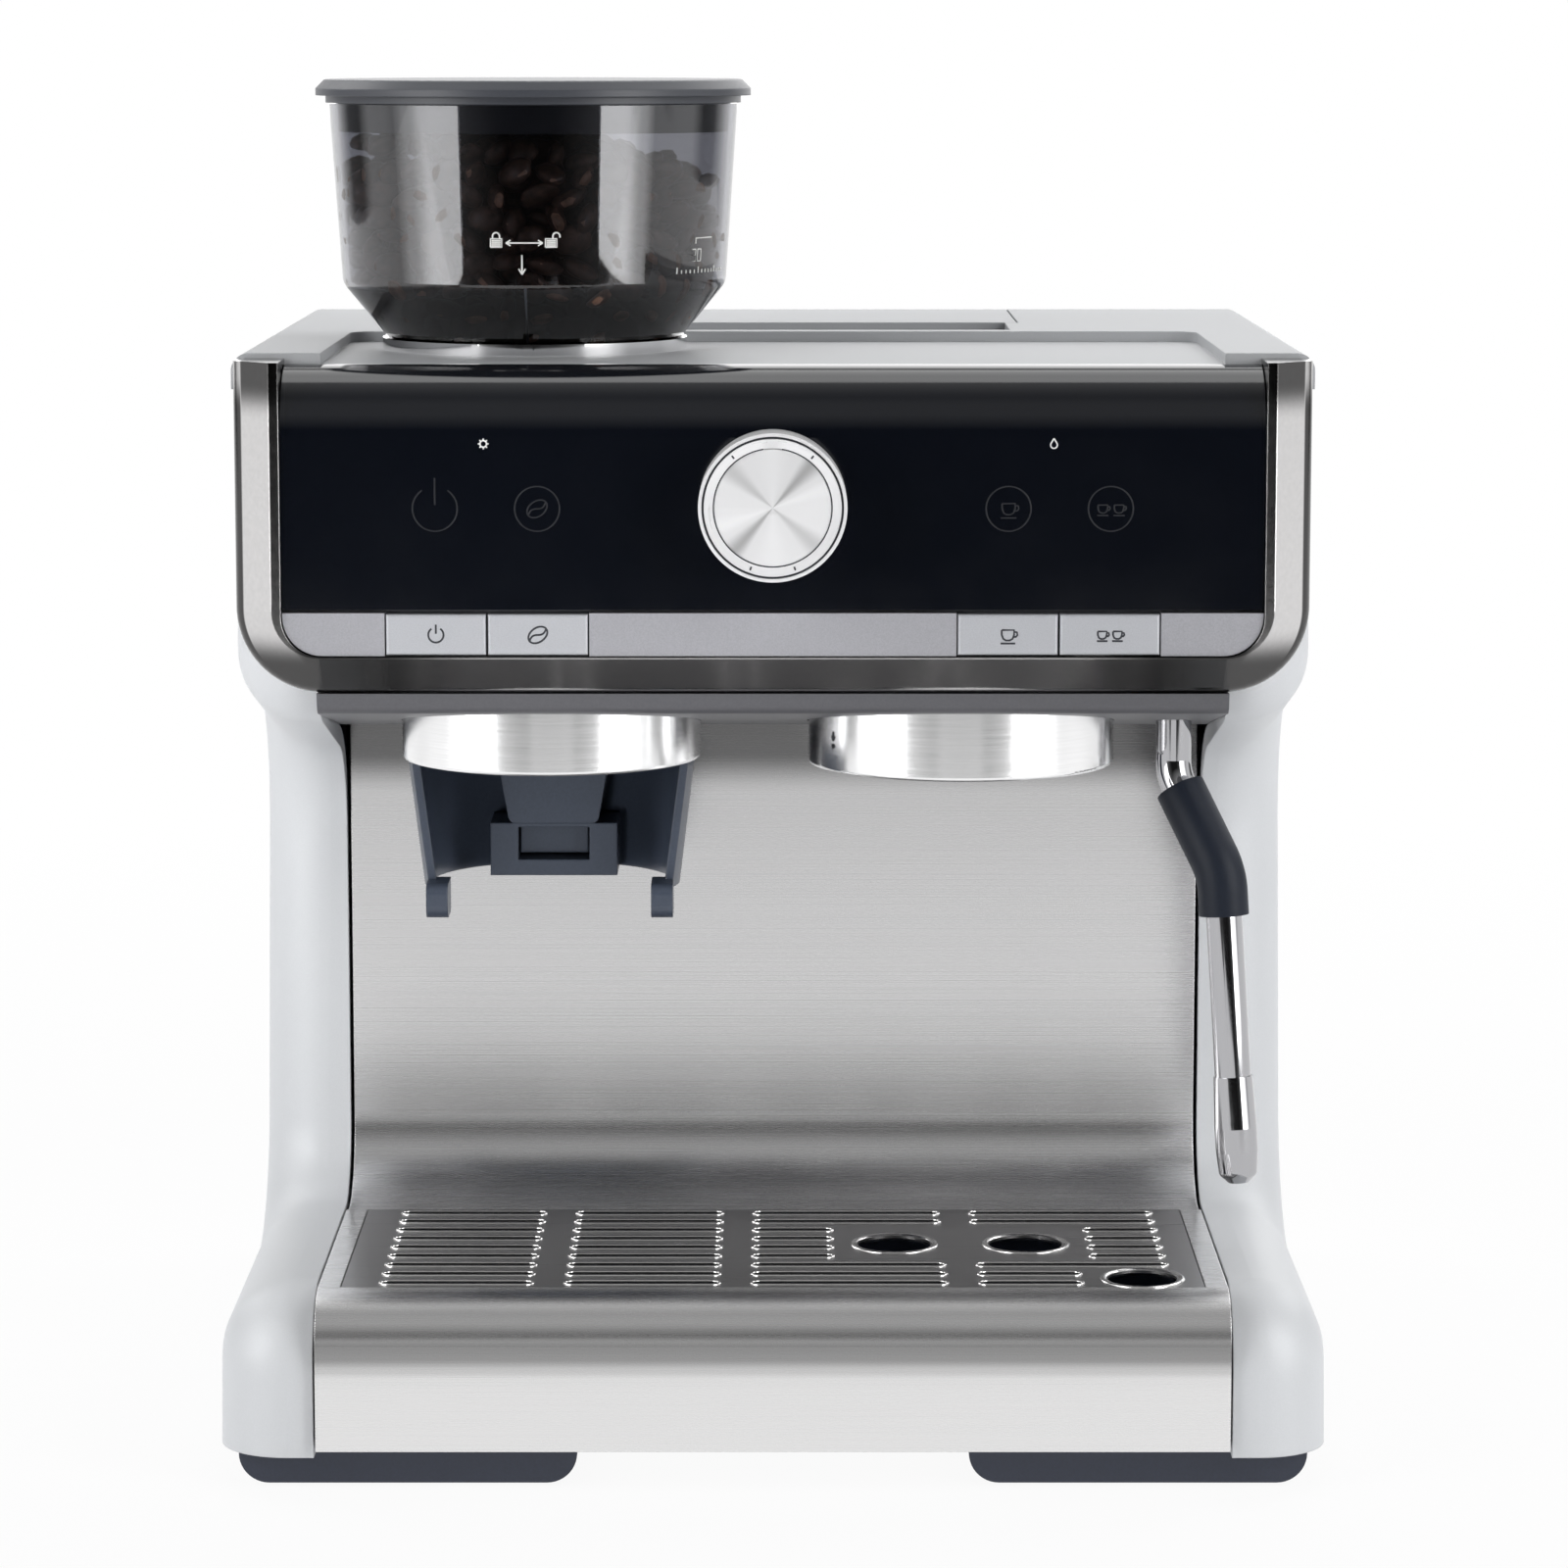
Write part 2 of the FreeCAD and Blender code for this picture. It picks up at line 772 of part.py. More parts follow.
def mirrored(name, thing):
    mirror = doc.addObject("Part::Mirroring", name)
    mirror.Source = thing
    mirror.Normal = FreeCAD.Vector(1, 0, 0)
    return mirror


def bent_path(points, bends):
    """Straight runs through the points, with a tangent arc at each inner point."""
    edges = []
    last = points[0]
    for i, bend in enumerate(bends, start=1):
        start, middle, end = corner_arc(points[i - 1], points[i], points[i + 1], bend)
        edges.append(Part.LineSegment(last, start).toShape())
        edges.append(Part.Arc(start, middle, end).toShape())
        last = end
    edges.append(Part.LineSegment(last, points[-1]).toShape())
    return Part.Wire(edges)


def tube(name, points, bends, outer, inner):
    """A pipe along a bent path, hollow right through."""
    path = bent_path(points, bends)
    heading = points[1] - points[0]
    shapes = []
    for radius in (outer, inner):
        ring = Part.Wire(Part.makeCircle(num(radius), points[0], heading))
        shapes.append(path.makePipeShell([ring], True, False))
    pipe = doc.addObject("Part::Feature", name)
    pipe.Shape = shapes[0].cut(shapes[1])
    return pipe


def point(x, y, z):
    return FreeCAD.Vector(num(x), num(y), num(z))


# Feet: two dark skids, each on two rubber pads
def foot_profile(inner, outer):
    return ("outline", [(inner, "foot_top"), (inner, "foot_lift", "foot_corner"),
                        (outer, "foot_lift", "foot_corner"), (outer, "foot_top")])


pads = []
pad_ends = (f"({front} + pad_end_setback)", "(rear_reach - pad_end_setback)")
for name, side in (("foot_left", -1), ("foot_right", 1)):
    foot = new_body(name)
    prism(foot, "XZ", f"{front} + foot_front_setback", "rear_reach - foot_rear_setback",
          foot_profile(f"{side}*foot_inner", f"{side}*foot_outer"))
    seats = [("circle", f"{side}*pad_x", end, "pad_radius + run_gap") for end in pad_ends]
    cutout(foot, "XY", "0", "pad_thick", *seats)
    node(foot, name)
    for end in pad_ends:
        pads.append(rod("pad", "pad_radius", "pad_thick", f"{side}*pad_x", end, "0"))
node(group("foot_pads", *pads), "foot_pads")


# Chassis: a floor with two uprights that carry the head
chassis_sides = []
for side in (-1, 1):
    edges = sorted((f"{side}*chassis_half", f"{side}*(chassis_half - floor_thick)"), key=num)
    chassis_sides.append(block("upright", edges, ("upright_front", "upright_rear"),
                               ("foot_top", housing_top)))
chassis_floor = block("chassis_floor", ("-chassis_half", "chassis_half"),
                      (f"{front} + foot_front_setback + chassis_front_gap",
                       f"{rear_plane} - rear_sheet - side_gap"),
                      ("foot_top", floor_top))
node(join("chassis", chassis_floor, *chassis_sides), "chassis")


# Side housings: a C in side view around the cup space, soft outside, hollow inside
def housing_profile(inset):
    nose = f"{front} + housing_setback + {inset}"
    head = f"{split} + {inset}"
    pillar = f"{splash} + {inset}"
    rear = f"rear_reach - {inset}"
    stepped = f"rear_reach - rear_step - {inset}"
    return ("outline", [
        (head, f"{housing_top} - {inset}"),
        (head, f"arm_bottom + {inset}", f"housing_nose - {inset}"),
        (pillar, f"pillar_arch_level + {inset}", f"pillar_arch_radius + {inset}"),
        (pillar, f"tray_level - {inset}", f"pillar_foot_radius + {inset}"),
        (nose, f"tray_level - {inset}", f"housing_nose - {inset}"),
        (nose, f"foot_top + {inset}"),
        (rear, f"foot_top + {inset}"),
        (rear, f"{skirt_level} - seat_gap - {inset}"),
        (stepped, f"{skirt_level} - seat_gap - {inset}"),
        (stepped, f"{housing_top} - {inset}", f"rear_round - rear_step - {inset}"),
    ])


def housing_side(height):
    lean = (num("base_half") - num("deck_half")) / (num(housing_top) - num("foot_top"))
    return num("base_half") - lean * (height - num("foot_top"))


def is_housing_front_edge(edge):
    box = edge.BoundBox
    outside = all(abs(v.X - housing_side(v.Z)) < 0.01 for v in edge.Vertexes)
    level = abs(box.ZMax - box.ZMin) < 0.01 and box.YMax > 0
    return outside and not level and box.YMax < num(splash) + 0.01


housing = new_body("side_panel_right")
prism(housing, "YZ", "inner_half", "base_half", housing_profile("0"))
cutout(housing, "XZ", f"{front} - 1", "rear_reach + 1",
       ("outline", [("base_half", "foot_top"), ("deck_half", housing_top),
                    ("base_half + 1", housing_top), ("base_half + 1", "foot_top")]))
soften(housing, "housing_edge", is_housing_front_edge)
for inset, depth in (("housing_rib", "housing_edge/2 + housing_wall"), ("3*housing_rib", "housing_hollow")):
    cutout(housing, "YZ", "inner_half", f"inner_half + {depth}", housing_profile(inset))
node(housing, "side_panel_right")
node(mirrored("side_panel_left", housing), "side_panel_left")


# Backsplash: one sheet that coves forward over the back of the tray
backsplash = new_body("backsplash")
cove_end = f"{splash} - cove_reach"
prism(backsplash, "YZ", "-splash_half", "splash_half", ("outline", [
    (splash, "splash_top"),
    (splash, "tray_level", "cove_radius"),
    (cove_end, "tray_level"),
    (cove_end, "tray_level - cove_lip"),
    (f"{cove_end} + splash_sheet", "tray_level - cove_lip"),
    (f"{cove_end} + splash_sheet", "tray_level - splash_sheet"),
    (f"{splash} + splash_sheet", "tray_level - splash_sheet", "cove_radius + splash_sheet"),
    (f"{splash} + splash_sheet", "splash_top"),
]))
node(backsplash, "backsplash")


# Drip tray: a flanged basin behind a rolled steel front with side rails
basin = new_body("drip_tray")
basin_front = f"{front} + tray_nose + side_gap"
basin_rear = f"{front} + basin_back"
prism(basin, "XY", "tray_foot", f"{basin_top}", ("outline", [
    ("-basin_half", basin_front), ("basin_half", basin_front),
    ("basin_half", basin_rear), ("-basin_half", basin_rear)]))
prism(basin, "XY", f"{basin_top} - basin_flange", basin_top, ("outline", [
    ("-tray_half", basin_front), ("tray_half", basin_front),
    ("tray_half", basin_rear), ("-tray_half", basin_rear)]))
cutout(basin, "XY", "tray_foot + basin_wall", basin_top, ("outline", [
    ("-basin_half + basin_wall", f"{basin_front} + basin_wall", "basin_corner"),
    ("basin_half - basin_wall", f"{basin_front} + basin_wall", "basin_corner"),
    ("basin_half - basin_wall", f"{basin_rear} - basin_wall", "basin_corner"),
    ("-basin_half + basin_wall", f"{basin_rear} - basin_wall", "basin_corner")]))
node(basin, "drip_tray")

fascia = new_body("tray_fascia")
inside = f"{front} + tray_sheet"
nose_end = f"{front} + tray_nose"
prism(fascia, "YZ", "-tray_half", "tray_half", ("outline", [
    (nose_end, "tray_level"),
    (front, "tray_level", "tray_nose - seat_gap"),
    (front, "tray_foot"),
    (nose_end, "tray_foot"),
    (nose_end, "tray_foot + tray_sheet"),
    (inside, "tray_foot + tray_sheet"),
    (inside, "tray_level - tray_sheet", "tray_nose - tray_sheet - seat_gap"),
    (nose_end, "tray_level - tray_sheet"),
]))
for side in (-1, 1):
    prism(fascia, "XY", basin_top, "tray_level", ("outline", [
        (f"{side}*(grid_half + side_gap/2)", f"{nose_end} - 1"), (f"{side}*tray_half", f"{nose_end} - 1"),
        (f"{side}*tray_half", grid_back), (f"{side}*(grid_half + side_gap/2)", grid_back)]))
node(fascia, "tray_fascia")

# Drip grid: rows of slots that make way for two drains below the spouts and the float hole
grid = new_body("drip_grid")
prism(grid, "XY", grid_under, "tray_level", ("outline", [
    ("-grid_half", grid_front), ("grid_half", grid_front), ("grid_half", grid_back),
    ("-grid_half", grid_back)]))
drain_y = f"({grid_front} + {grid_back})/2 + drain_forward"
float_y = f"{grid_front} + float_hole_margin"
cutout(grid, "XY", f"{grid_under} - 1", "tray_level",
       ("circle", "group_x - drain_spread", drain_y, "drain_radius"),
       ("circle", "group_x + drain_spread", drain_y, "drain_radius"),
       ("circle", "float_hole_x", float_y, "float_hole_radius"))
slot_pitch = f"(({grid_back}) - ({grid_front}) - slot_rear_margin - slot_front_margin)/8"
bar_sides = [(f"{bar} - bar_width/2", f"{bar} + bar_width/2")
             for bar in ("bar_left", "bar_middle", "bar_right")]
full = [("-slot_left", bar_sides[0][0]), (bar_sides[0][1], bar_sides[1][0]),
        (bar_sides[1][1], bar_sides[2][0]), (bar_sides[2][1], "slot_right")]
drain_reach = "(drain_spread + drain_radius + drain_land)"
round_drains = [*full[:2], (bar_sides[1][1], f"group_x - {drain_reach}"),
                (f"group_x + {drain_reach}", "slot_right")]
round_float = [*full[:3], (bar_sides[2][1], "float_hole_x - float_hole_radius - drain_land")]
row = 0
for columns, rows in ((full, 2), (round_drains, 4), (full, 1), (round_float, 2)):
    level = f"{grid_back} - slot_rear_margin - {row + rows - 1}*{slot_pitch}"
    slots = [("slot", f"{left} + slot_width/2", f"{right} - slot_width/2", level, "slot_width")
             for left, right in columns]
    cut = cutout(grid, "XY", f"{grid_under} - 1", "tray_level", *slots)
    if rows > 1:
        repeat(grid, cut, "V_Axis", slot_pitch, rows)
    row += rows
node(grid, "drip_grid")


# Head underside: a sloping pan with raised rings for the two spouts and a bush for the wand
slope_back = f"{chin_back} - chin_flat"
chin_under = [
    (chin_front, chin_top),
    (f"{chin_front} + chin_rake", "chin_front_level", "chin_nose"),
    (slope_back, "chin_back_level", "chin_sweep"),
    (chin_back, "chin_back_level"),
]
pan = new_body("chin_pan")
prism(pan, "YZ", "-inner_half + side_gap", "inner_half - side_gap", ("outline", [
    *chin_under,
    (chin_back, "chin_back_level + chin_sheet"),
    (slope_back, "chin_back_level + chin_sheet", "chin_sweep"),
    (f"{chin_front} + chin_rake + chin_sheet", "chin_front_level + chin_sheet"),
    (f"{chin_front} + chin_sheet", chin_top)]))
room = new_body("chin_room")
prism(room, "YZ", "-inner_half + side_gap", "inner_half - side_gap",
      ("outline", [*chin_under, (chin_back, chin_top)]))
spouts = [
    ("group", "group_x", outlet_y, "group_collar_radius + seat_gap"),
    ("outlet", "outlet_x", outlet_y, "outlet_collar_radius + seat_gap"),
    ("wand", "wand_x", wand_y, "wand_radius + run_gap"),
]
bosses = [rod(f"{name}_boss", f"{bore} + boss_wall", f"{chin_top} - chin_back_level", x, y, "chin_back_level")
          for name, x, y, bore in spouts]
bores = [rod(f"{name}_bore", bore, "deck_level", x, y, "0") for name, x, y, bore in spouts]
head_floor = join("head_floor_solid", pan, overlap("chin_bosses", join("boss_rods", *bosses), room))
node(remove("head_floor", head_floor, *bores), "head_floor")


# Front frame: a bevelled U around the panel
frame = new_body("front_bezel")
prism(frame, "XZ", bezel, split, ("outline", [
    ("-bezel_half", "bezel_top"),
    ("-bezel_half", "bezel_bottom", "bezel_corner"),
    ("bezel_half", "bezel_bottom", "bezel_corner"),
    ("bezel_half", "bezel_top"),
    ("panel_half", "bezel_top"),
    ("panel_half", "strip_bottom", "bezel_window_corner"),
    ("-panel_half", "strip_bottom", "bezel_window_corner"),
    ("-panel_half", "bezel_top"),
]))


def is_bezel_outside(edge, level):
    inside_window = all(abs(v.X) < num("panel_half") + 0.01 and v.Z > num("strip_bottom") - 0.01
                        for v in edge.Vertexes)
    box = edge.BoundBox
    flat = abs(box.YMin - level) < 0.01 and abs(box.YMax - level) < 0.01
    return flat and not inside_window and box.ZMin < num("bezel_top") - 0.01


doc.recompute()
frame_blank = frame.Tip
outer_edges = [f"Edge{i}" for i, edge in enumerate(frame_blank.Shape.Edges, start=1)
               if is_bezel_outside(edge, num(bezel))]
bevel = frame.newObject("PartDesign::Chamfer", "bezel_bevel")
bevel.Base = (frame_blank, outer_edges)
bevel.ChamferType = "Two distances"
bind(bevel, "Size", "bezel_bevel_depth")
bind(bevel, "Size2", "strip_bottom - bezel_bottom - bezel_land")
soften(frame, "bezel_edge", lambda edge: is_bezel_outside(edge, num(f"{bezel} + bezel_bevel_depth")))
node(frame, "front_bezel")


# Control panel: one glossy sheet that rolls back into the deck
glass = new_body("control_panel")
panel_end = f"{split} - seat_gap"
panel_bottom = f"{strip_top} + strip_line"
prism(glass, "YZ", "-panel_half + seat_gap", "panel_half - seat_gap", ("outline", [
    (panel, panel_bottom),
    (panel, cup_floor, "panel_round"),
    (panel_end, cup_floor),
    (panel_end, f"{cup_floor} - panel_sheet"),
    (panel_back, f"{cup_floor} - panel_sheet", "panel_round - panel_sheet"),
    (panel_back, panel_bottom),
]))
cutout(glass, "XZ", f"{panel} - 1", f"{panel_back} + 1",
       ("circle", "0", "knob_level", "spindle_radius + seat_gap"))
node(glass, "control_panel")

# Panel carrier: backs the panel and the strip, guides the button stems and holds the control board
buttons = [("button_power", "-button_outer"), ("button_grind", "-button_inner"),
           ("button_single", "button_inner"), ("button_double", "button_outer")]
button_z = "(strip_bottom + strip_height/2)"
carrier = new_body("panel_carrier")
prism(carrier, "XZ", strip_back, carrier_back, ("outline", [
    ("-panel_half + side_gap", f"{panel_bottom} + carrier_lap"),
    ("-panel_half + side_gap", "strip_bottom + seat_gap", "bezel_window_corner"),
    ("panel_half - side_gap", "strip_bottom + seat_gap", "bezel_window_corner"),
    ("panel_half - side_gap", f"{panel_bottom} + carrier_lap")]))
prism(carrier, "XZ", f"{panel_back} + seat_gap", strip_back, ("outline", [
    ("-panel_half + side_gap", "carrier_top"), ("-panel_half + side_gap", panel_bottom),
    ("panel_half - side_gap", panel_bottom), ("panel_half - side_gap", "carrier_top")]))
prism(carrier, "XZ", strip_back, board_front, *[
    ("circle", f"{side}*post_x", level, "post_radius")
    for side in (-1, 1) for level in (f"{panel_bottom} + carrier_lap - post_radius",
                                      "carrier_top - 2*post_radius")])
for name, x in buttons:
    half_w, half_h = "(stem_width/2 + seat_gap)", "(stem_height/2 + seat_gap)"
    cutout(carrier, "XZ", f"{strip_back} - 0.5", f"{carrier_back} + 1", ("outline", [
        (f"{x} - {half_w}", f"{button_z} - {half_h}"), (f"{x} + {half_w}", f"{button_z} - {half_h}"),
        (f"{x} + {half_w}", f"{button_z} + {half_h}"), (f"{x} - {half_w}", f"{button_z} + {half_h}")]))
cutout(carrier, "XZ", f"{panel_back}", f"{carrier_back} + 1",
       ("circle", "0", "knob_level", "spindle_radius + seat_gap"))
node(carrier, "panel_carrier")

# Button strip: the fixed lengths between and beside the buttons
inner_end = "(button_inner - button_width/2 - button_gap)"
outer_end = "(button_outer + button_width/2 + button_gap)"
strip_end = "(panel_half - seat_gap)"
strip_low = "strip_bottom + seat_gap"
strip_parts = []
for corners in (
    [(f"-{strip_end}", strip_top), (f"-{strip_end}", strip_low, "bezel_window_corner"),
     (f"-{outer_end}", strip_low), (f"-{outer_end}", strip_top)],
    [(f"-{inner_end}", strip_top), (f"-{inner_end}", strip_low), (inner_end, strip_low),
     (inner_end, strip_top)],
    [(outer_end, strip_top), (outer_end, strip_low), (strip_end, strip_low, "bezel_window_corner"),
     (strip_end, strip_top)],
):
    length = new_body("strip_length")
    prism(length, "XZ", panel, strip_back, ("outline", corners))
    strip_parts.append(length)
node(group("button_strip", *strip_parts), "button_strip")

# Push buttons: a cap with a stem that reaches back to its switch
for name, x in buttons:
    button = new_body(name)
    left, right = f"{x} - button_width/2", f"{x} + button_width/2"
    low, high = f"{strip_low} + seat_gap", f"{strip_top} - seat_gap"
    prism(button, "XZ", button_face, f"{button_face} + button_thick",
          ("outline", [(left, low), (right, low), (right, high), (left, high)]))
    soften(button, "button_edge", lambda edge: edge.BoundBox.YMax < num(button_face) + 0.01)
    prism(button, "XZ", f"{button_face} + button_thick", f"{button_face} + button_thick + stem_length",
          ("outline", [(f"{x} - stem_width/2", f"{button_z} - stem_height/2"),
                       (f"{x} + stem_width/2", f"{button_z} - stem_height/2"),
                       (f"{x} + stem_width/2", f"{button_z} + stem_height/2"),
                       (f"{x} - stem_width/2", f"{button_z} + stem_height/2")]))
    node(button, name)

# Control board with a switch behind each button, and the rotary switch on its back
board_back = f"({board_front} + board_sheet)"
board = new_body("control_board")
board_low = "(strip_bottom + board_margin)"
prism(board, "XZ", board_front, board_back, ("outline", [
    ("-board_half", "board_top"), ("-board_half", board_low), ("board_half", board_low),
    ("board_half", "board_top")]))
for name, x in buttons:
    half = "switch_side/2"
    prism(board, "XZ", f"{board_front} - switch_height + seat_gap", board_front, ("outline", [
        (f"{x} - {half}", f"{button_z} - {half} + switch_drop"),
        (f"{x} + {half}", f"{button_z} - {half} + switch_drop"),
        (f"{x} + {half}", f"{button_z} + {half}"), (f"{x} - {half}", f"{button_z} + {half}")]))
cutout(board, "XZ", f"{board_front} - 1", f"{board_back} + 1",
       ("circle", "0", "knob_level", "spindle_radius + 2*seat_gap"))
node(board, "control_board")

rotary = new_body("rotary_switch")
half = "rotary_side/2"
prism(rotary, "XZ", board_back, f"{board_back} + rotary_depth", ("outline", [
    (f"-{half}", f"knob_level + {half}", "rotary_corner"),
    (f"-{half}", f"knob_level - {half}", "rotary_corner"),
    (half, f"knob_level - {half}", "rotary_corner"), (half, f"knob_level + {half}", "rotary_corner")]))
cutout(rotary, "XZ", f"{board_back} - 1", f"{board_back} + rotary_depth - rotary_floor",
       ("circle", "0", "knob_level", "spindle_radius + run_gap"))
node(rotary, "rotary_switch")

# Knob: a skirted body with a pointer, a spun cap let into its face, and its spindle
knob_seat = f"({panel} - seat_gap)"
cap_seat = "(knob_height - knob_cap_thick)"
groove_in = "(knob_radius - knob_rim - knob_groove)"
knob = turned("knob_body", [
    ("spindle_radius", "0"),
    ("knob_radius", "0"),
    ("knob_radius", "knob_height"),
    ("knob_radius - knob_rim", "knob_height"),
    ("knob_radius - knob_rim", "knob_height - knob_groove"),
    (groove_in, "knob_height - knob_groove"),
    (groove_in, "knob_height"),
    ("knob_cap_radius + seat_gap", "knob_height - knob_dish"),
    ("knob_cap_radius + seat_gap", cap_seat),
    ("spindle_radius", cap_seat),
], "0", knob_seat, "knob_level", "front")
pointer = block("knob_pointer", ("-knob_pointer_width/2", "knob_pointer_width/2"),
                (f"{knob_seat} - knob_height - knob_pointer_proud",
                 f"{knob_seat} - knob_height + knob_pointer_root"),
                ("knob_level + knob_cap_radius + 2*seat_gap", f"knob_level + {groove_in}"))
node(join("control_knob", knob, pointer), "control_knob")
node(turned("knob_cap", [
    ("0", cap_seat), ("knob_cap_radius", cap_seat), ("knob_cap_radius", "knob_height - knob_cap_crown"),
    ("0", "knob_height")], "0", knob_seat, "knob_level", "front"), "knob_cap")
spindle_front = f"({knob_seat} - {cap_seat})"
spindle_back = f"({board_back} + rotary_depth - rotary_floor - spindle_end_gap)"
node(rod("knob_spindle", "spindle_radius", f"{spindle_back} - {spindle_front}", "0", spindle_front,
         "knob_level", "Y"),
     "knob_spindle")


# Top deck: rolls over the rear, with the cup recess, the hopper hole, the scoop and the tank opening
deck = new_body("top_deck")
prism(deck, "YZ", "-deck_half", "deck_half", ("outline", [
    (split, deck_under),
    (split, "deck_level"),
    ("rear_reach", "deck_level", "rear_round"),
    ("rear_reach", skirt_level),
    ("rear_reach - rear_step + seat_gap", skirt_level),
    ("rear_reach - rear_step + seat_gap", deck_under, "rear_round - rear_step"),
]))


def is_deck_side_edge(edge):
    side = all(abs(abs(v.X) - num("deck_half")) < 0.01 for v in edge.Vertexes)
    box = edge.BoundBox
    along = box.YMax - box.YMin > 1 or box.ZMax - box.ZMin > num("deck_plate") + 1
    above = box.ZMax > num("deck_level") - 0.01 or box.YMax > num("rear_reach") - 0.01
    return side and along and above and box.XMax - box.XMin < 0.01


soften(deck, "deck_edge", is_deck_side_edge)
cutout(deck, "XY", cup_floor, "deck_level", ("outline", [
    ("-recess_half", f"{split} - 1"), ("recess_half", f"{split} - 1"),
    ("recess_half", "recess_back", "recess_corner"), ("-recess_half", "recess_back", "recess_corner")]))
cutout(deck, "XY", cup_floor, "deck_level", ("circle", "hopper_x", hopper_y, "ring_outer + ring_recess"))
cutout(deck, "XY", f"{deck_under} - 1", "deck_level",
       ("circle", "hopper_x", hopper_y, "ring_outer - ring_seat"))
cutout(deck, "YZ", "-scoop_half", "scoop_half", ("outline", [
    ("scoop_front", "deck_level + 1"), ("scoop_front", "deck_level"),
    ("lid_front + 1", "deck_level - scoop_depth"), ("lid_front + 1", "deck_level + 1")]))
cutout(deck, "XY", f"{skirt_level} - 1", "deck_level", ("outline", [
    (f"-{bay_inner}", "lid_front - side_gap"), (bay_inner, "lid_front - side_gap"),
    (bay_inner, "rear_reach + 1"), (f"-{bay_inner}", "rear_reach + 1")]))
node(deck, "top_deck")


# Rear cover beside and below the tank, with vents, screws and the bush for the mains lead
cover = new_body("rear_cover")
prism(cover, "XZ", f"{rear_plane} - rear_sheet", rear_plane, ("outline", [
    ("-inner_half + side_gap", "foot_top + seat_gap"), ("inner_half - side_gap", "foot_top + seat_gap"),
    ("inner_half - side_gap", f"{skirt_level} - seat_gap"), (bay_inner, f"{skirt_level} - seat_gap"),
    (bay_inner, "tank_level - seat_gap"), (f"-{bay_inner}", "tank_level - seat_gap"),
    (f"-{bay_inner}", f"{skirt_level} - seat_gap"), ("-inner_half + side_gap", f"{skirt_level} - seat_gap")]))
vents = [("slot", f"{side}*vent_x - vent_width/2", f"{side}*vent_x + vent_width/2", "vent_level",
          "vent_height")
         for side in (-1, 1)]
vent_row = cutout(cover, "XZ", f"{rear_plane} - rear_sheet - 1", f"{rear_plane} + 1", *vents)
repeat(cover, vent_row, "V_Axis", "vent_pitch", 8)
screw_levels = ("foot_top + screw_low", f"{skirt_level} - screw_high")
screw_places = [(f"{side}*screw_x", level) for side in (-1, 1) for level in screw_levels]
cutout(cover, "XZ", f"{rear_plane} - rear_sheet - 1", f"{rear_plane} + 1",
       ("circle", "gland_x", "gland_level", "gland_radius"),
       *[("circle", x, z, "screw_shank") for x, z in screw_places])
node(cover, "rear_cover")
screws = [turned("case_screw", [("0", "-rear_sheet"), ("screw_shank", "-rear_sheet"), ("screw_shank", "0"),
                                ("screw_head", "0"), ("screw_head", "rear_inset"), ("0", "rear_inset")],
                 x, rear_plane, z, "Y") for x, z in screw_places]
node(group("case_screws", *screws), "case_screws")
node(turned("cord_gland", [
    ("gland_bore", "-rear_sheet - gland_tail"), ("gland_radius", "-rear_sheet - gland_tail"),
    ("gland_radius", "0"),
    ("gland_radius + gland_flange", "0"), ("gland_radius + gland_flange", "rear_inset"),
    ("gland_bore", "rear_inset"),
], "gland_x", rear_plane, "gland_level", "Y"), "cord_gland")


# Tank bay: an open-backed well on legs with the valve socket in its floor
bay_floor = "(tank_level - seat_gap)"
bay_rear = f"({rear_plane} - rear_sheet)"
bay_front = "(tank_front - side_gap)"
bay = new_body("tank_bay")
prism(bay, "XY", f"{bay_floor} - bay_sheet", bay_floor, ("outline", [
    (f"-{bay_inner} - bay_sheet", f"{bay_front} - bay_sheet"),
    (f"{bay_inner} + bay_sheet", f"{bay_front} - bay_sheet"),
    (f"{bay_inner} + bay_sheet", bay_rear), (f"-{bay_inner} - bay_sheet", bay_rear)]))
prism(bay, "XY", bay_floor, f"{skirt_level} - seat_gap", ("outline", [
    (f"-{bay_inner} - bay_sheet", f"{bay_front} - bay_sheet"),
    (f"{bay_inner} + bay_sheet", f"{bay_front} - bay_sheet"),
    (f"{bay_inner} + bay_sheet", bay_rear), (bay_inner, bay_rear),
    (bay_inner, bay_front), (f"-{bay_inner}", bay_front),
    (f"-{bay_inner}", bay_rear), (f"-{bay_inner} - bay_sheet", bay_rear)]))
for side in (-1, 1):
    leg_outer, leg_inner = f"{side}*({bay_inner} + bay_sheet)", f"{side}*({bay_inner} + bay_sheet - bay_leg)"
    prism(bay, "XY", floor_top, f"{bay_floor} - bay_sheet", ("outline", [
        (leg_outer, f"{bay_front} + bay_leg"), (leg_inner, f"{bay_front} + bay_leg"),
        (leg_inner, f"{bay_rear} - bay_leg"), (leg_outer, f"{bay_rear} - bay_leg")]))
prism(bay, "XY", f"{bay_floor} - bay_sheet - socket_drop", f"{bay_floor} - bay_sheet",
      ("circle", "0", "valve_y", "valve_radius + socket_room + socket_wall"))
cutout(bay, "XY", f"{bay_floor} - bay_sheet - socket_drop + socket_floor", f"{bay_floor} + 1",
       ("circle", "0", "valve_y", "valve_radius + socket_room"))
cutout(bay, "XY", "0", f"{bay_floor} - bay_sheet - socket_drop + socket_floor",
       ("circle", "0", "valve_y", "hose_radius"))
node(bay, "tank_bay")

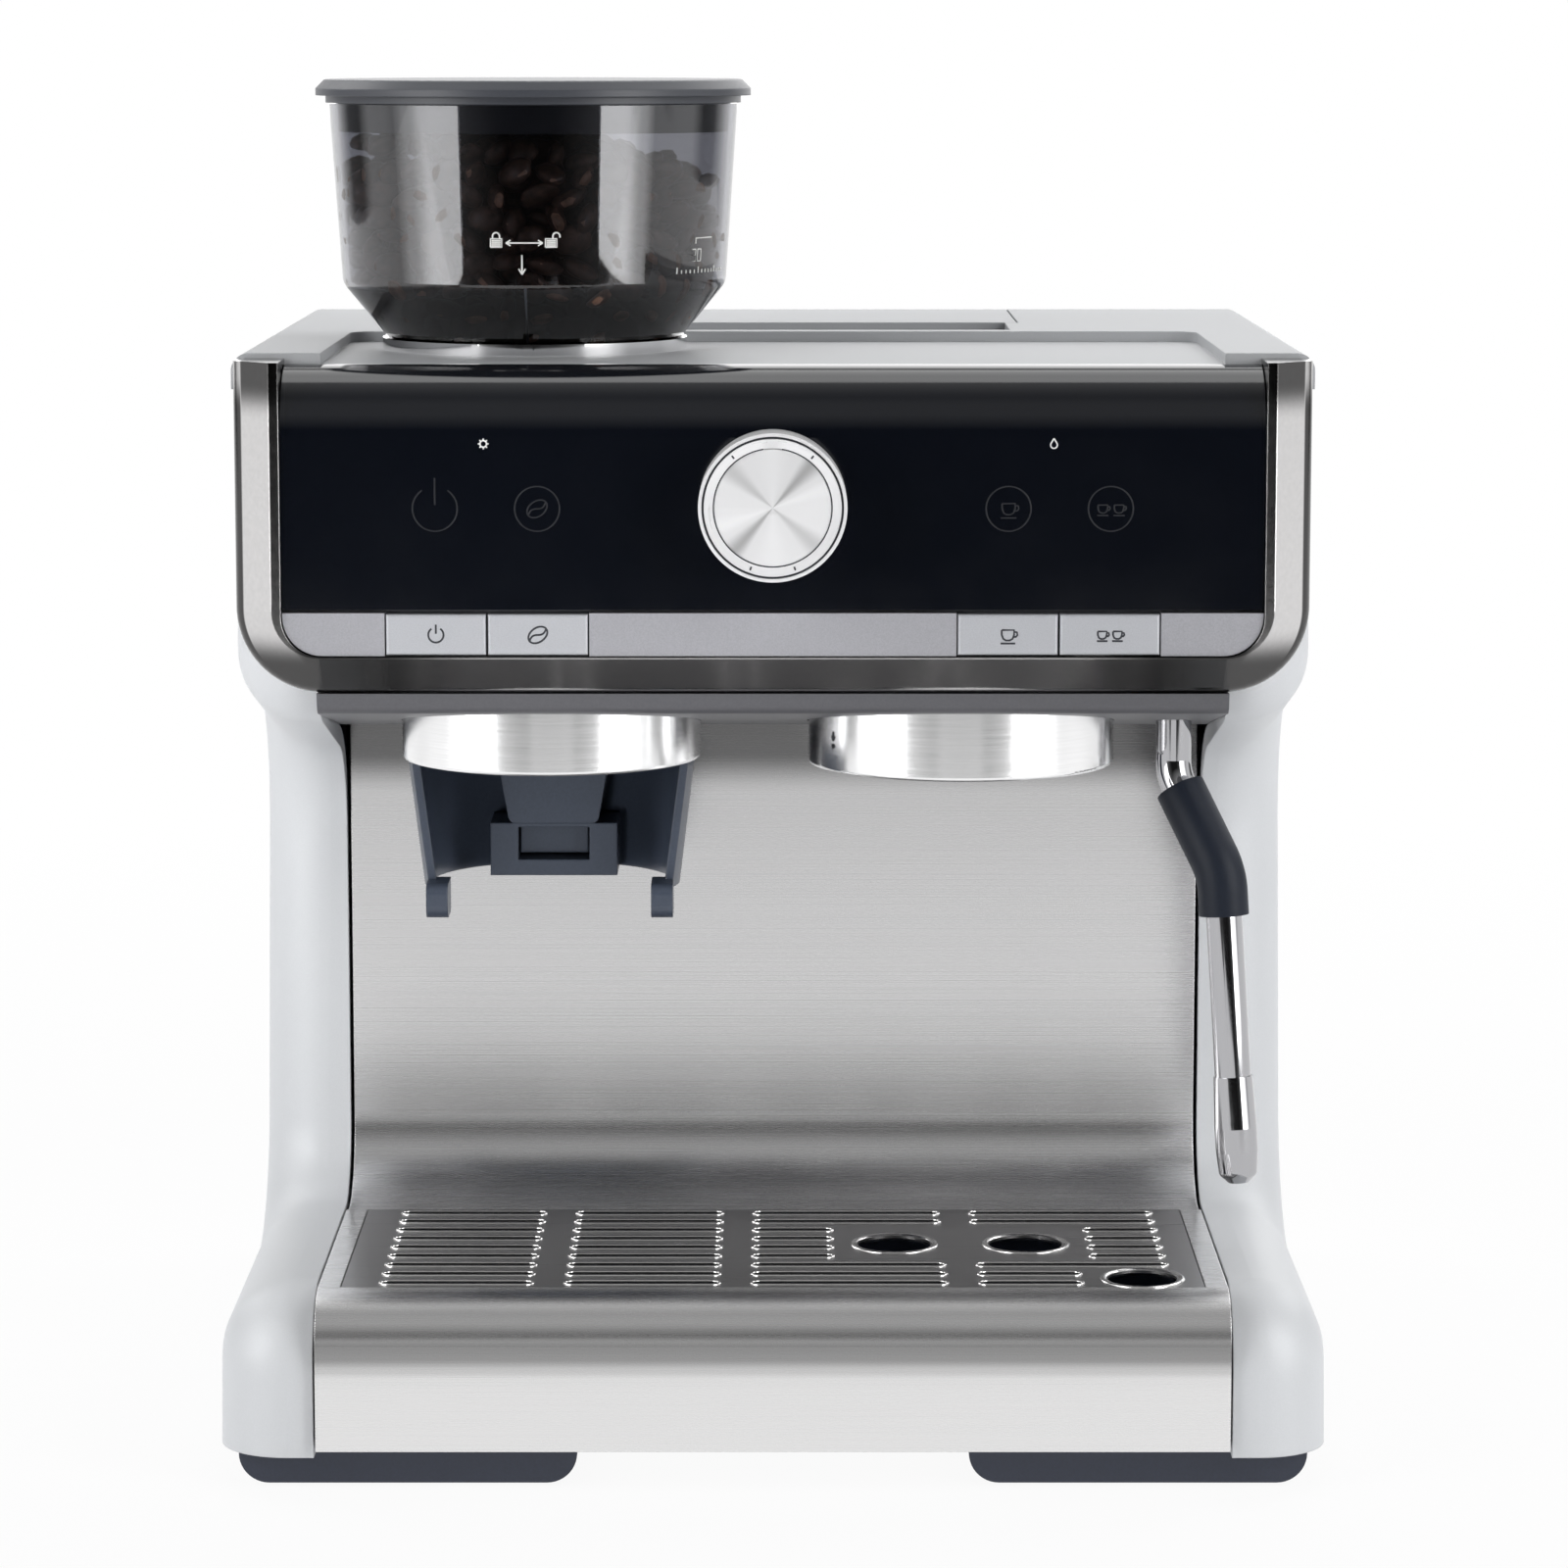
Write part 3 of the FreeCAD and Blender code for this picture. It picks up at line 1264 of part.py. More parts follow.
# Water tank with its valve and a lid that hinges at the rear
tank = new_body("tank_shell")
tank_floor = "(tank_level + tank_wall)"
prism(tank, "XY", "tank_level", "tank_top", ("outline", [
    ("-tank_half", "tank_front", "tank_corner"), ("tank_half", "tank_front", "tank_corner"),
    ("tank_half", tank_rear, "tank_wall"), ("-tank_half", tank_rear, "tank_wall")]))
cutout(tank, "XY", tank_floor, "tank_top", ("outline", [
    ("-tank_half + tank_wall", "tank_front + tank_wall", "tank_corner - tank_wall"),
    ("tank_half - tank_wall", "tank_front + tank_wall", "tank_corner - tank_wall"),
    ("tank_half - tank_wall", f"{tank_rear} - tank_wall"),
    ("-tank_half + tank_wall", f"{tank_rear} - tank_wall")]))
cutout(tank, "XY", "tank_level - 1", tank_floor, ("circle", "0", "valve_y", "valve_radius"))
lugs = []
for side in (-1, 1):
    span = sorted((f"{side}*tank_half", f"{side}*(tank_half - tank_wall)"), key=num)
    lug = block("tank_lug", span, (f"{lid_axis_y} - lid_hinge_radius", f"{tank_rear} - tank_wall/2"),
                ("tank_top - 1", lid_axis_z))
    eye = rod("tank_eye", "lid_hinge_radius", "tank_wall", span[0], lid_axis_y, lid_axis_z, "X")
    lugs += [lug, eye]
lug_bore = rod("tank_lug_bore", "lid_pin_radius + run_gap", "2*tank_half + 2", "-tank_half - 1",
               lid_axis_y, lid_axis_z, "X")
node(remove("water_tank", join("tank_solid", tank, *lugs), lug_bore), "water_tank")
node(turned("tank_valve", [
    ("0", "tank_level - valve_drop"), ("valve_radius - valve_nose", "tank_level - valve_drop"),
    ("valve_radius", "tank_level - valve_drop + valve_step"), ("valve_radius", tank_floor),
    ("valve_flange", tank_floor), ("valve_flange", f"{tank_floor} + valve_step"),
    ("0", f"{tank_floor} + valve_step"),
], "0", "valve_y"), "tank_valve")

lid = new_body("lid_shell")
lid_ceiling = "(deck_level - lid_wall)"
prism(lid, "YZ", "-tank_half", "tank_half", ("outline", [
    ("lid_front", "deck_level - scoop_depth - 1"),
    ("lid_front", "deck_level"),
    (tank_rear, "deck_level", "rear_round"),
    (tank_rear, lid_axis_z),
    (f"{tank_rear} - lid_wall", lid_axis_z),
    (f"{tank_rear} - lid_wall", lid_ceiling, "rear_round - lid_wall"),
    ("lid_front + lid_wall", lid_ceiling),
    ("lid_front + lid_wall", "deck_level - scoop_depth - 1"),
]))
for side in (-1, 1):
    span = sorted((f"{side}*tank_half", f"{side}*(tank_half - tank_wall)"), key=num)
    prism(lid, "YZ", *span, ("outline", [
        ("tank_front + tank_corner", f"{lid_ceiling} + 1"), ("tank_front + tank_corner", lid_foot),
        (f"{tank_rear} - 1", lid_foot), (f"{tank_rear} - 1", f"{lid_ceiling} + 1", "rear_round - 1")]))
hinge_room = []
for side in (-1, 1):
    start = "-tank_half - 1" if side < 0 else "tank_half - tank_wall - seat_gap"
    hinge_room.append(rod("hinge_room", "3*lid_hinge_radius", "tank_wall + seat_gap + 1", start,
                          lid_axis_y, lid_axis_z, "X"))
barrel = rod("lid_barrel", "lid_hinge_radius", "2*(tank_half - tank_wall - seat_gap)",
             "-tank_half + tank_wall + seat_gap", lid_axis_y, lid_axis_z, "X")
pin = rod("lid_pins", "lid_pin_radius", "2*tank_half - seat_gap", "-tank_half + seat_gap/2", lid_axis_y,
          lid_axis_z, "X")
node(join("tank_lid", remove("lid_cut", lid, *hinge_room), barrel, pin), "tank_lid")


# Group: bayonet head in its polished collar, with gasket, screen, screw and boiler
group_rim = "(group_collar_bottom + group_lip)"
lug_floor = f"({group_rim} + group_lug_step)"
lug_roof = f"({lug_floor} + group_lug_height)"
group_roof = f"({group_rim} + group_ceiling)"
node(turned("group_collar", [
    ("group_collar_radius - group_collar_wall", "group_collar_bottom"),
    ("group_collar_radius", "group_collar_bottom", "collar_lip"),
    ("group_collar_radius", chin_top),
    ("group_collar_radius - group_collar_wall", chin_top),
], "group_x", outlet_y), "group_collar")
head_radius = "(group_collar_radius - group_collar_wall - seat_gap)"
flange_radius = "(group_collar_radius + boss_wall)"
head = turned("group_turned", [
    ("group_socket_radius", group_rim),
    (head_radius, group_rim),
    (head_radius, chin_top),
    (flange_radius, chin_top),
    (flange_radius, group_flange_top),
    ("screw_head", group_flange_top),
    ("screw_head", group_roof),
    ("group_socket_radius", group_roof),
    ("group_socket_radius", lug_roof),
    ("group_lug_radius", lug_roof),
    ("group_lug_radius", lug_floor),
    ("group_socket_radius", lug_floor),
], "group_x", outlet_y)
entries = block("lug_entries", ("group_x - group_lug_radius", "group_x + group_lug_radius"),
                (f"{outlet_y} - group_lug_width/2", f"{outlet_y} + group_lug_width/2"),
                (f"{group_rim} - 1", lug_floor))
flange_trim = block("group_flange_trim", ("-deck_half", "deck_half"), (front, head_room),
                    (chin_top, group_flange_top))
node(remove("group_head", head, entries, flange_trim), "group_head")
gasket_low = f"({group_roof} - gasket_height)"
node(turned("group_gasket", [
    ("gasket_inner", gasket_low), ("group_socket_radius", gasket_low),
    ("group_socket_radius", group_roof), ("gasket_inner", group_roof)], "group_x", outlet_y), "group_gasket")
screen_low = f"({group_roof} - screen_drop)"
screen = turned("shower_screen", [
    ("screw_head", screen_low), ("screen_radius", screen_low, "screen_corner"), ("screen_radius", group_roof),
    ("screen_radius - screen_sheet", group_roof),
    ("screen_radius - screen_sheet", f"{screen_low} + screen_sheet"),
    ("screw_head", f"{screen_low} + screen_sheet")], "group_x", outlet_y)
for ring, count in ((1.5, 8), (2.5, 14), (3.5, 20)):
    hole = cutout(screen, "XY", f"{screen_low} - 1", f"{screen_low} + screen_sheet + 1",
                  ("circle", f"{ring}*screen_pitch", "0", "screen_hole"))
    repeat_round(screen, hole, count)
node(screen, "shower_screen")
node(turned("shower_screw", [
    ("0", f"{screen_low} - screen_screw_head"), ("2*screw_head", f"{screen_low} - screen_screw_head"),
    ("2*screw_head", screen_low), ("screw_head", screen_low),
    ("screw_head", f"{group_roof} + screen_screw_depth"), ("0", f"{group_roof} + screen_screw_depth"),
], "group_x", outlet_y), "shower_screw")
boiler_top = f"({group_flange_top} + boiler_height)"
boiler = turned("boiler_shell", [
    ("0", group_flange_top), ("boiler_radius + boiler_flange", group_flange_top),
    ("boiler_radius + boiler_flange", f"{group_flange_top} + boiler_flange_height"),
    ("boiler_radius", f"{group_flange_top} + boiler_flange_height"),
    ("boiler_radius", f"{boiler_top} - boiler_dome", "boiler_round"), ("0", boiler_top),
], "group_x", outlet_y)
nozzles = [rod("nozzle", "nozzle_radius", "nozzle_length", f"group_x + {side}*nozzle_offset",
               f"{outlet_y} + {side}*nozzle_offset", f"{boiler_top} - nozzle_root") for side in (-1, 1)]
nozzle_top = f"({boiler_top} - nozzle_root + nozzle_length)"
node(join("boiler", boiler, *nozzles), "boiler")


# Grinder outlet: collar, flanged fork that holds the basket under the chute, and its push paddle
node(turned("grinder_collar", [
    ("outlet_collar_radius - outlet_collar_wall", "outlet_collar_bottom"),
    ("outlet_collar_radius", "outlet_collar_bottom", "collar_lip"),
    ("outlet_collar_radius", chin_top),
    ("outlet_collar_radius - outlet_collar_wall", chin_top),
], "outlet_x", outlet_y), "grinder_collar")
fork_kink = "(outlet_collar_bottom - fork_shoulder)"
fork_cone = turned("fork_cone", [
    ("0", "fork_bottom"), ("fork_foot_radius", "fork_bottom"), ("fork_top_radius", fork_kink),
    ("fork_top_radius", chin_top), ("0", chin_top),
], "outlet_x", outlet_y)
fork_shell = turned("fork_shell", [
    ("fork_foot_radius - fork_wall", "fork_bottom"), ("fork_foot_radius", "fork_bottom"),
    ("fork_top_radius", fork_kink), ("fork_top_radius", chin_top),
    ("outlet_collar_radius + boss_wall", chin_top), ("outlet_collar_radius + boss_wall", fork_flange_top),
    ("0", fork_flange_top), ("0", chin_top),
    ("fork_top_radius - fork_wall", chin_top), ("fork_top_radius - fork_wall", fork_kink),
], "outlet_x", outlet_y)
fork_mouth = block("fork_mouth", ("outlet_x - group_collar_radius", "outlet_x + group_collar_radius"),
                   (front, f"{outlet_y} - fork_opening"), ("0", "outlet_collar_bottom"))
fork_trim = block("fork_flange_trim", ("-deck_half", "deck_half"), (front, head_room),
                  (chin_top, fork_flange_top))
fork_back = f"{outlet_y} + fork_top_radius"
block_face = f"({outlet_y} + block_front)"
window_top = "(fork_bottom + sill_height + window_height)"
block_top = f"({window_top} + guide_gap)"
fork_guide = new_body("fork_guide")
prism(fork_guide, "XZ", block_face, fork_back, ("outline", [
    ("outlet_x - block_half", "fork_bottom"), ("outlet_x + block_half", "fork_bottom"),
    ("outlet_x + block_half", block_top), ("outlet_x - block_half", block_top)]))
prism(fork_guide, "XZ", f"{block_face} - guide_proud", fork_back, ("outline", [
    ("outlet_x - guide_top_half", chin_top),
    ("outlet_x - guide_foot_half", block_top, "guide_corner"),
    ("outlet_x + guide_foot_half", block_top, "guide_corner"),
    ("outlet_x + guide_top_half", chin_top)]))
fork_block = overlap("fork_block", fork_guide, fork_cone)
paddle_y = f"({block_face} + paddle_inset)"
paddle_sides = ("outlet_x - paddle_half - side_gap", "outlet_x + paddle_half + side_gap")
window_sill = "fork_bottom + sill_height"
paddle_slot = block("paddle_slot", paddle_sides,
                    (f"{block_face} + block_skin", f"{block_face} + paddle_room"),
                    (window_sill, "paddle_level + 2*paddle_hub"))
paddle_window = block("paddle_window", paddle_sides, (outlet_y, f"{block_face} + block_skin"),
                      (window_sill, window_top))
paddle_space = join("paddle_space", paddle_slot, paddle_window)
pin_length = "(2*paddle_half + 2*side_gap + paddle_pin_reach)"
paddle_bore = rod("paddle_bore", "paddle_pin + run_gap", f"{pin_length} + seat_gap",
                  f"outlet_x - {pin_length}/2 - seat_gap/2", paddle_y, "paddle_level", "X")
prongs = []
for side in (-1, 1):
    outer = "(fork_foot_radius - 0.75*fork_wall)"
    prong = new_body("prong")
    near = f"{outlet_y} - fork_opening + prong_root"
    edges = (f"outlet_x + {side}*({outer} - prong_width)", f"outlet_x + {side}*{outer}")
    prism(prong, "YZ", *sorted(edges, key=num),
          ("outline", [(near, "fork_bottom - prong_drop + prong_height"),
                       (near, "fork_bottom - prong_drop", "prong_heel"),
                       (f"{near} - prong_length", "fork_bottom - prong_drop", "prong_toe"),
                       (f"{near} - prong_length", "fork_bottom - prong_drop + prong_height", "prong_tip")]))
    prongs.append(prong)
chute_x = "outlet_x"
chute_front = f"({hopper_y} - burr_case_radius - seat_gap - chute_depth)"
chute_rear = f"({hopper_y} - burr_case_radius - seat_gap)"
chute_hole = block("chute_hole",
                   (f"{chute_x} - chute_half + chute_wall", f"{chute_x} + chute_half - chute_wall"),
                   (f"{chute_front} + chute_wall", f"{chute_rear} - chute_wall"),
                   ("fork_bottom", fork_flange_top))
fork = remove("fork_opened", fork_shell, fork_mouth, fork_trim)
fork = join("fork_joined", fork, fork_block, *prongs)
node(remove("grinder_cradle", fork, paddle_space, paddle_bore, chute_hole), "grinder_cradle")

paddle = block("paddle_plate", ("outlet_x - paddle_half", "outlet_x + paddle_half"),
               (f"{paddle_y} - paddle_hub", f"{paddle_y} - paddle_hub + paddle_thick"),
               ("paddle_bottom", "paddle_level"))
hub = rod("paddle_hub", "paddle_hub", "2*paddle_half", "outlet_x - paddle_half", paddle_y, "paddle_level",
          "X")
trunnion = rod("paddle_pins", "paddle_pin", pin_length, f"outlet_x - {pin_length}/2", paddle_y,
               "paddle_level", "X")
node(join("grind_trigger", paddle, hub, trunnion), "grind_trigger")


# Grinder: motor on the fork flange, burr case below the deck, burrs and the chute
node(turned("grinder_motor", [
    ("0", fork_flange_top), ("motor_radius", fork_flange_top), ("motor_radius", "motor_top - motor_flange"),
    ("burr_case_radius - side_gap", "motor_top - motor_flange"), ("burr_case_radius - side_gap", "motor_top"),
    ("shaft_radius + run_gap", "motor_top"), ("shaft_radius + run_gap", "motor_top - shaft_socket"),
    ("0", "motor_top - shaft_socket"),
], "hopper_x", hopper_y), "grinder_motor")
case_inner = "(burr_case_radius - burr_case_wall)"
case = turned("burr_case", [
    ("shaft_radius + burr_case_hub", "motor_top"), ("burr_case_radius", "motor_top"),
    ("burr_case_radius", housing_top),
    (case_inner, housing_top), (case_inner, burr_floor), ("burr_radius + burr_room", burr_floor),
    ("burr_radius + burr_room", "motor_top + burr_case_wall"),
    ("shaft_radius + burr_case_hub", "motor_top + burr_case_wall"),
], "hopper_x", hopper_y)
case_window = block("case_window",
                    (f"{chute_x} - chute_half + chute_wall", f"{chute_x} + chute_half - chute_wall"),
                    (f"{chute_rear} - chute_wall - 1", f"{hopper_y} - burr_radius"),
                    ("motor_top + burr_case_wall", burr_floor))
node(remove("burr_housing", case, case_window), "burr_housing")
chute_box = block("chute_box", (f"{chute_x} - chute_half", f"{chute_x} + chute_half"),
                  (chute_front, chute_rear),
                  (fork_flange_top, "chute_top"))
chute_way = block("chute_way",
                  (f"{chute_x} - chute_half + chute_wall", f"{chute_x} + chute_half - chute_wall"),
                  (f"{chute_front} + chute_wall", f"{chute_rear} - chute_wall"),
                  (f"{fork_flange_top} - 1", "chute_top - chute_wall"))
node(remove("grind_chute", chute_box, chute_way, case_window), "grind_chute")
carrier_radius = f"({case_inner} - 2*seat_gap)"
carrier_low = f"({burr_floor} + seat_gap)"
hopper_seat = f"({cup_floor} + hopper_lift)"
neck_low = f"({hopper_seat} - hopper_neck_length)"
burr_top = f"({carrier_low} + burr_shelf + burr_height)"
node(turned("burr_carrier", [
    ("burr_radius", carrier_low), (carrier_radius, carrier_low),
    (carrier_radius, f"{hopper_seat} - seat_gap"),
    ("hopper_neck + seat_gap", f"{hopper_seat} - seat_gap"),
    ("hopper_neck + seat_gap", f"{neck_low} - seat_gap"),
    ("burr_radius - burr_shelf", f"{burr_top} + burr_shelf"), ("burr_radius - burr_shelf", burr_top),
    ("burr_radius", burr_top),
], "hopper_x", hopper_y), "burr_carrier")
node(turned("upper_burr", [
    ("cone_radius + grind_gap", f"{burr_top} - burr_height"), ("burr_radius", f"{burr_top} - burr_height"),
    ("burr_radius", burr_top), ("cone_radius + burr_flare", burr_top)], "hopper_x", hopper_y), "upper_burr")
node(turned("lower_burr", [
    ("shaft_radius", f"{carrier_low} + cone_lift"), ("cone_radius", f"{carrier_low} + cone_lift"),
    ("cone_radius", f"{carrier_low} + cone_lift + cone_land"), ("cone_tip", f"{burr_top} + cone_rise"),
    ("shaft_radius", f"{burr_top} + cone_rise"),
], "hopper_x", hopper_y), "lower_burr")
shaft_foot = "(motor_top - shaft_socket + seat_gap)"
node(rod("grinder_shaft", "shaft_radius", f"{burr_top} + shaft_rise - {shaft_foot}", "hopper_x", hopper_y,
         shaft_foot),
     "grinder_shaft")

# Hopper: bright seat ring with a mark, smoked tub and a flanged cap
ring_top = f"({cup_floor} + ring_height)"
hopper_slope = f"((hopper_shoulder - hopper_foot)/(hopper_shoulder_level - {hopper_seat}))"
seat_ring = turned("seat_ring", [
    ("hopper_foot + side_gap", cup_floor), ("ring_outer", cup_floor), ("ring_outer", ring_top),
    (f"hopper_foot + {hopper_slope}*({ring_top} - {hopper_seat}) + side_gap", ring_top)], "hopper_x",
    hopper_y)
ring_mark = block("ring_mark", ("hopper_x - ring_mark/2", "hopper_x + ring_mark/2"),
                  (f"{hopper_y} - ring_outer - ring_mark_proud", f"{hopper_y} - ring_outer + 1"),
                  (cup_floor, f"{ring_top} - seat_gap"))
node(join("hopper_ring", seat_ring, ring_mark), "hopper_ring")
node(turned("bean_hopper", [
    ("hopper_neck - hopper_wall", neck_low),
    ("hopper_neck", neck_low),
    ("hopper_neck", hopper_seat),
    ("hopper_foot", hopper_seat),
    ("hopper_shoulder", "hopper_shoulder_level", "hopper_bend"),
    ("hopper_rim", "hopper_rim_level"),
    ("hopper_rim - hopper_wall", "hopper_rim_level"),
    ("hopper_shoulder - hopper_wall", "hopper_shoulder_level + hopper_wall/3", "hopper_bend - hopper_wall"),
    ("hopper_foot - hopper_wall", f"{hopper_seat} + hopper_wall"),
    ("hopper_neck - hopper_wall", f"{hopper_seat} + hopper_wall"),
], "hopper_x", hopper_y), "bean_hopper")
cap_seat_z = "(hopper_rim_level + seat_gap)"
skirt_radius = "(hopper_rim - hopper_wall - side_gap)"
cap_flange_z = f"({cap_seat_z} + cap_collar)"
cap_top = f"({cap_flange_z} + cap_height)"
node(turned("hopper_lid", [
    ("0", cap_top),
    ("cap_flange - cap_bevel", cap_top, "cap_round"),
    ("cap_flange", f"{cap_top} - cap_bevel"),
    ("cap_flange", cap_flange_z),
    ("hopper_rim + cap_lap", cap_flange_z),
    ("hopper_rim + cap_lap", cap_seat_z),
    (skirt_radius, cap_seat_z),
    (skirt_radius, f"{cap_seat_z} - cap_skirt"),
    (f"{skirt_radius} - hopper_wall", f"{cap_seat_z} - cap_skirt"),
    (f"{skirt_radius} - hopper_wall", cap_flange_z),
    ("0", cap_flange_z),
], "hopper_x", hopper_y), "hopper_lid")


# Steam wand: a bent tube in one upright plane, with a rubber grip over its elbow and a froth sleeve
def wand_point(reach, level):
    turn = math.radians(num("wand_turn"))
    return point("wand_x", wand_y, level) + FreeCAD.Vector(math.cos(turn), math.sin(turn), 0) * num(reach)


wand_knee = wand_point("0", "wand_bend_level")
wand_elbow = wand_point("wand_elbow_reach", "wand_elbow_level")
wand_end = wand_point("wand_tip_reach", "wand_tip_level")
lower_run = (wand_end - wand_elbow).normalize()
upper_run = (wand_elbow - wand_knee).normalize()
pipe_end = wand_end - lower_run * num("sleeve_floor")
wand_pipe = tube("wand_pipe", [wand_point("0", "wand_top"), wand_knee, wand_elbow, pipe_end],
                 [num("wand_bend"), num("wand_elbow")], "wand_radius", "wand_bore")
wand_stop = turned("wand_stop", [
    ("wand_bore", f"{chin_top} + seat_gap"), ("wand_radius + boss_wall/2", f"{chin_top} + seat_gap"),
    ("wand_radius + boss_wall/2", "wand_top - seat_gap"), ("wand_bore", "wand_top - seat_gap")], "wand_x",
    wand_y)
node(join("steam_wand", wand_pipe, wand_stop), "steam_wand")
grip_run = num("wand_bend") * math.tan(FreeCAD.Vector(0, 0, -1).getAngle(upper_run) / 2) + num("grip_gap")
node(tube("wand_grip", [wand_knee + upper_run * grip_run, wand_elbow,
                        wand_elbow + lower_run * num("grip_lower")],
          [num("wand_elbow")], "grip_radius", "wand_radius"), "wand_grip")
sleeve = turned("wand_sleeve", [
    ("0", "0"), ("sleeve_tip", "0"), ("sleeve_radius - sleeve_draft", "sleeve_nose", "sleeve_round"),
    ("sleeve_radius", "sleeve_belly"), ("sleeve_radius", "sleeve_waist"),
    ("wand_radius + sleeve_neck", "sleeve_length"), ("wand_radius", "sleeve_length"),
    ("wand_radius", "sleeve_floor"),
    ("0", "sleeve_floor")])
for axis in "xyz":
    sleeve.setExpression(f"Placement.Base.{axis}", None)
sleeve.Placement = FreeCAD.Placement(wand_end, FreeCAD.Rotation(FreeCAD.Vector(0, 0, -1), lower_run))
node(sleeve, "wand_sleeve")


# Parts in the column: pump on rubber mounts, main board, solenoid valve, hoses and the steam pipe
pump_low = f"({floor_top} + pump_mount)"
pump_mid = f"({pump_low} + pump_height/2)"
pump_left, pump_right = "(pump_x - pump_length/2)", "(pump_x + pump_length/2)"
coil = block("pump_coil", (pump_left, pump_right), ("pump_y - pump_width/2", "pump_y + pump_width/2"),
             (pump_low, f"{pump_low} + pump_height"))
barrel = rod("pump_barrel", "pump_nozzle", "pump_length + 2*pump_reach", f"{pump_left} - pump_reach",
             "pump_y",
             pump_mid, "X")
node(join("pump", coil, barrel), "pump")
mounts = [rod("pump_foot", "pump_width/4", "pump_mount", f"pump_x + {side}*pump_length/4", "pump_y",
              floor_top)
          for side in (-1, 1)]
node(group("pump_mounts", *mounts), "pump_mounts")

board_x = "(-chassis_half + floor_thick + main_board_gap)"
sheet_board = block("main_board_sheet", (board_x, f"{board_x} + board_sheet"),
                    ("upright_front + main_board_margin", "upright_rear - main_board_margin"),
                    ("main_board_bottom", "main_board_top"))
standoffs = [rod("standoff", "post_radius", "main_board_gap", "-chassis_half + floor_thick", y, z, "X")
             for y in ("upright_front + standoff_inset + main_board_margin",
                       "upright_rear - standoff_inset - main_board_margin")
             for z in ("main_board_bottom + standoff_inset", "main_board_top - standoff_inset")]
face_x = f"{board_x} + board_sheet"
transformer = block("transformer", (face_x, f"{face_x} + transformer_depth"),
                    ("upright_front + transformer_inset",
                     "upright_front + transformer_inset + transformer_width"),
                    ("main_board_bottom + transformer_inset",
                     "main_board_bottom + transformer_inset + transformer_height"))
relays = [block("relay", (face_x, f"{face_x} + relay_depth"),
                ("upright_front + relay_inset", "upright_front + relay_inset + relay_width"),
                (f"main_board_top - main_board_margin - relay_height - {turn}*relay_pitch",
                 f"main_board_top - main_board_margin - {turn}*relay_pitch")) for turn in (0, 1)]
node(join("main_board", sheet_board, *standoffs, transformer, *relays), "main_board")

valve_rear = f"({chin_back} - valve_back_gap)"
valve_floor = "(chin_back_level + chin_sheet)"
valve_body = block("valve_body", ("valve_x - valve_block/2", "valve_x + valve_block/2"),
                   (f"{valve_rear} - valve_block + valve_block_step", valve_rear),
                   (valve_floor, f"{valve_floor} + valve_height/2"))
valve_top = block("valve_coil", ("valve_x - valve_coil/2", "valve_x + valve_coil/2"),
                  (f"{valve_rear} - valve_coil + valve_coil_step", f"{valve_rear} + valve_coil_step"),
                  (f"{valve_floor} + valve_height/2", f"{valve_floor} + valve_height"))
node(join("solenoid_valve", valve_body, valve_top), "solenoid_valve")

hose_inner = "(hose_radius - hose_wall)"
socket_end = f"({bay_floor} - bay_sheet - socket_drop)"
hose_level = f"({floor_top} + hose_radius + side_gap)"
inlet_x = f"({pump_left} - pump_reach)"
inlet = tube("inlet_hose", [
    point("0", "valve_y", socket_end),
    point("0", "valve_y", hose_level),
    point(f"{inlet_x} - hose_turn", "pump_y", hose_level),
    point(f"{inlet_x} - hose_turn", "pump_y", pump_mid),
    point(inlet_x, "pump_y", pump_mid)],
    [num("hose_bend")] * 3, "hose_radius", hose_inner)
outlet_end = f"({pump_right} + pump_reach)"
duct_level = f"({deck_under} - duct_drop)"
pressure = tube("pressure_hose", [
    point(outlet_end, "pump_y", pump_mid),
    point(f"{outlet_end} + hose_turn", "pump_y", pump_mid),
    point(f"{outlet_end} + hose_turn", "pump_y", duct_level),
    point("group_x + nozzle_offset", f"{outlet_y} + nozzle_offset", duct_level),
    point("group_x + nozzle_offset", f"{outlet_y} + nozzle_offset", nozzle_top)],
    [num("hose_bend"), num("hose_bend"), num("steam_bend")], "steam_radius", "steam_radius - steam_wall")
node(group("water_hoses", inlet, pressure), "water_hoses")
node(tube("steam_pipe", [
    point("group_x - nozzle_offset", f"{outlet_y} - nozzle_offset", nozzle_top),
    point("group_x - nozzle_offset", f"{outlet_y} - nozzle_offset", duct_level),
    point("wand_x", wand_y, duct_level),
    point("wand_x", wand_y, "wand_top + seat_gap")],
    [num("steam_bend"), num("hose_bend")], "steam_radius", "steam_radius - steam_wall"), "steam_pipe")


doc.recompute()
for thing in doc.Objects:
    if {"Invalid", "Error"} & set(thing.State):
        raise RuntimeError(f"{thing.Label} failed: {thing.State}")
for thing in nodes:
    if thing.Shape.isNull() or not thing.Shape.isValid() or not thing.Shape.Solids:
        raise RuntimeError(f"{thing.Label} has no sound solid")
os.makedirs("parts", exist_ok=True)
for thing in nodes:
    thing.Shape.exportStep(f"parts/{thing.Label}.step")
print(f"{len(nodes)} sub-parts written")
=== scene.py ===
import math
import random

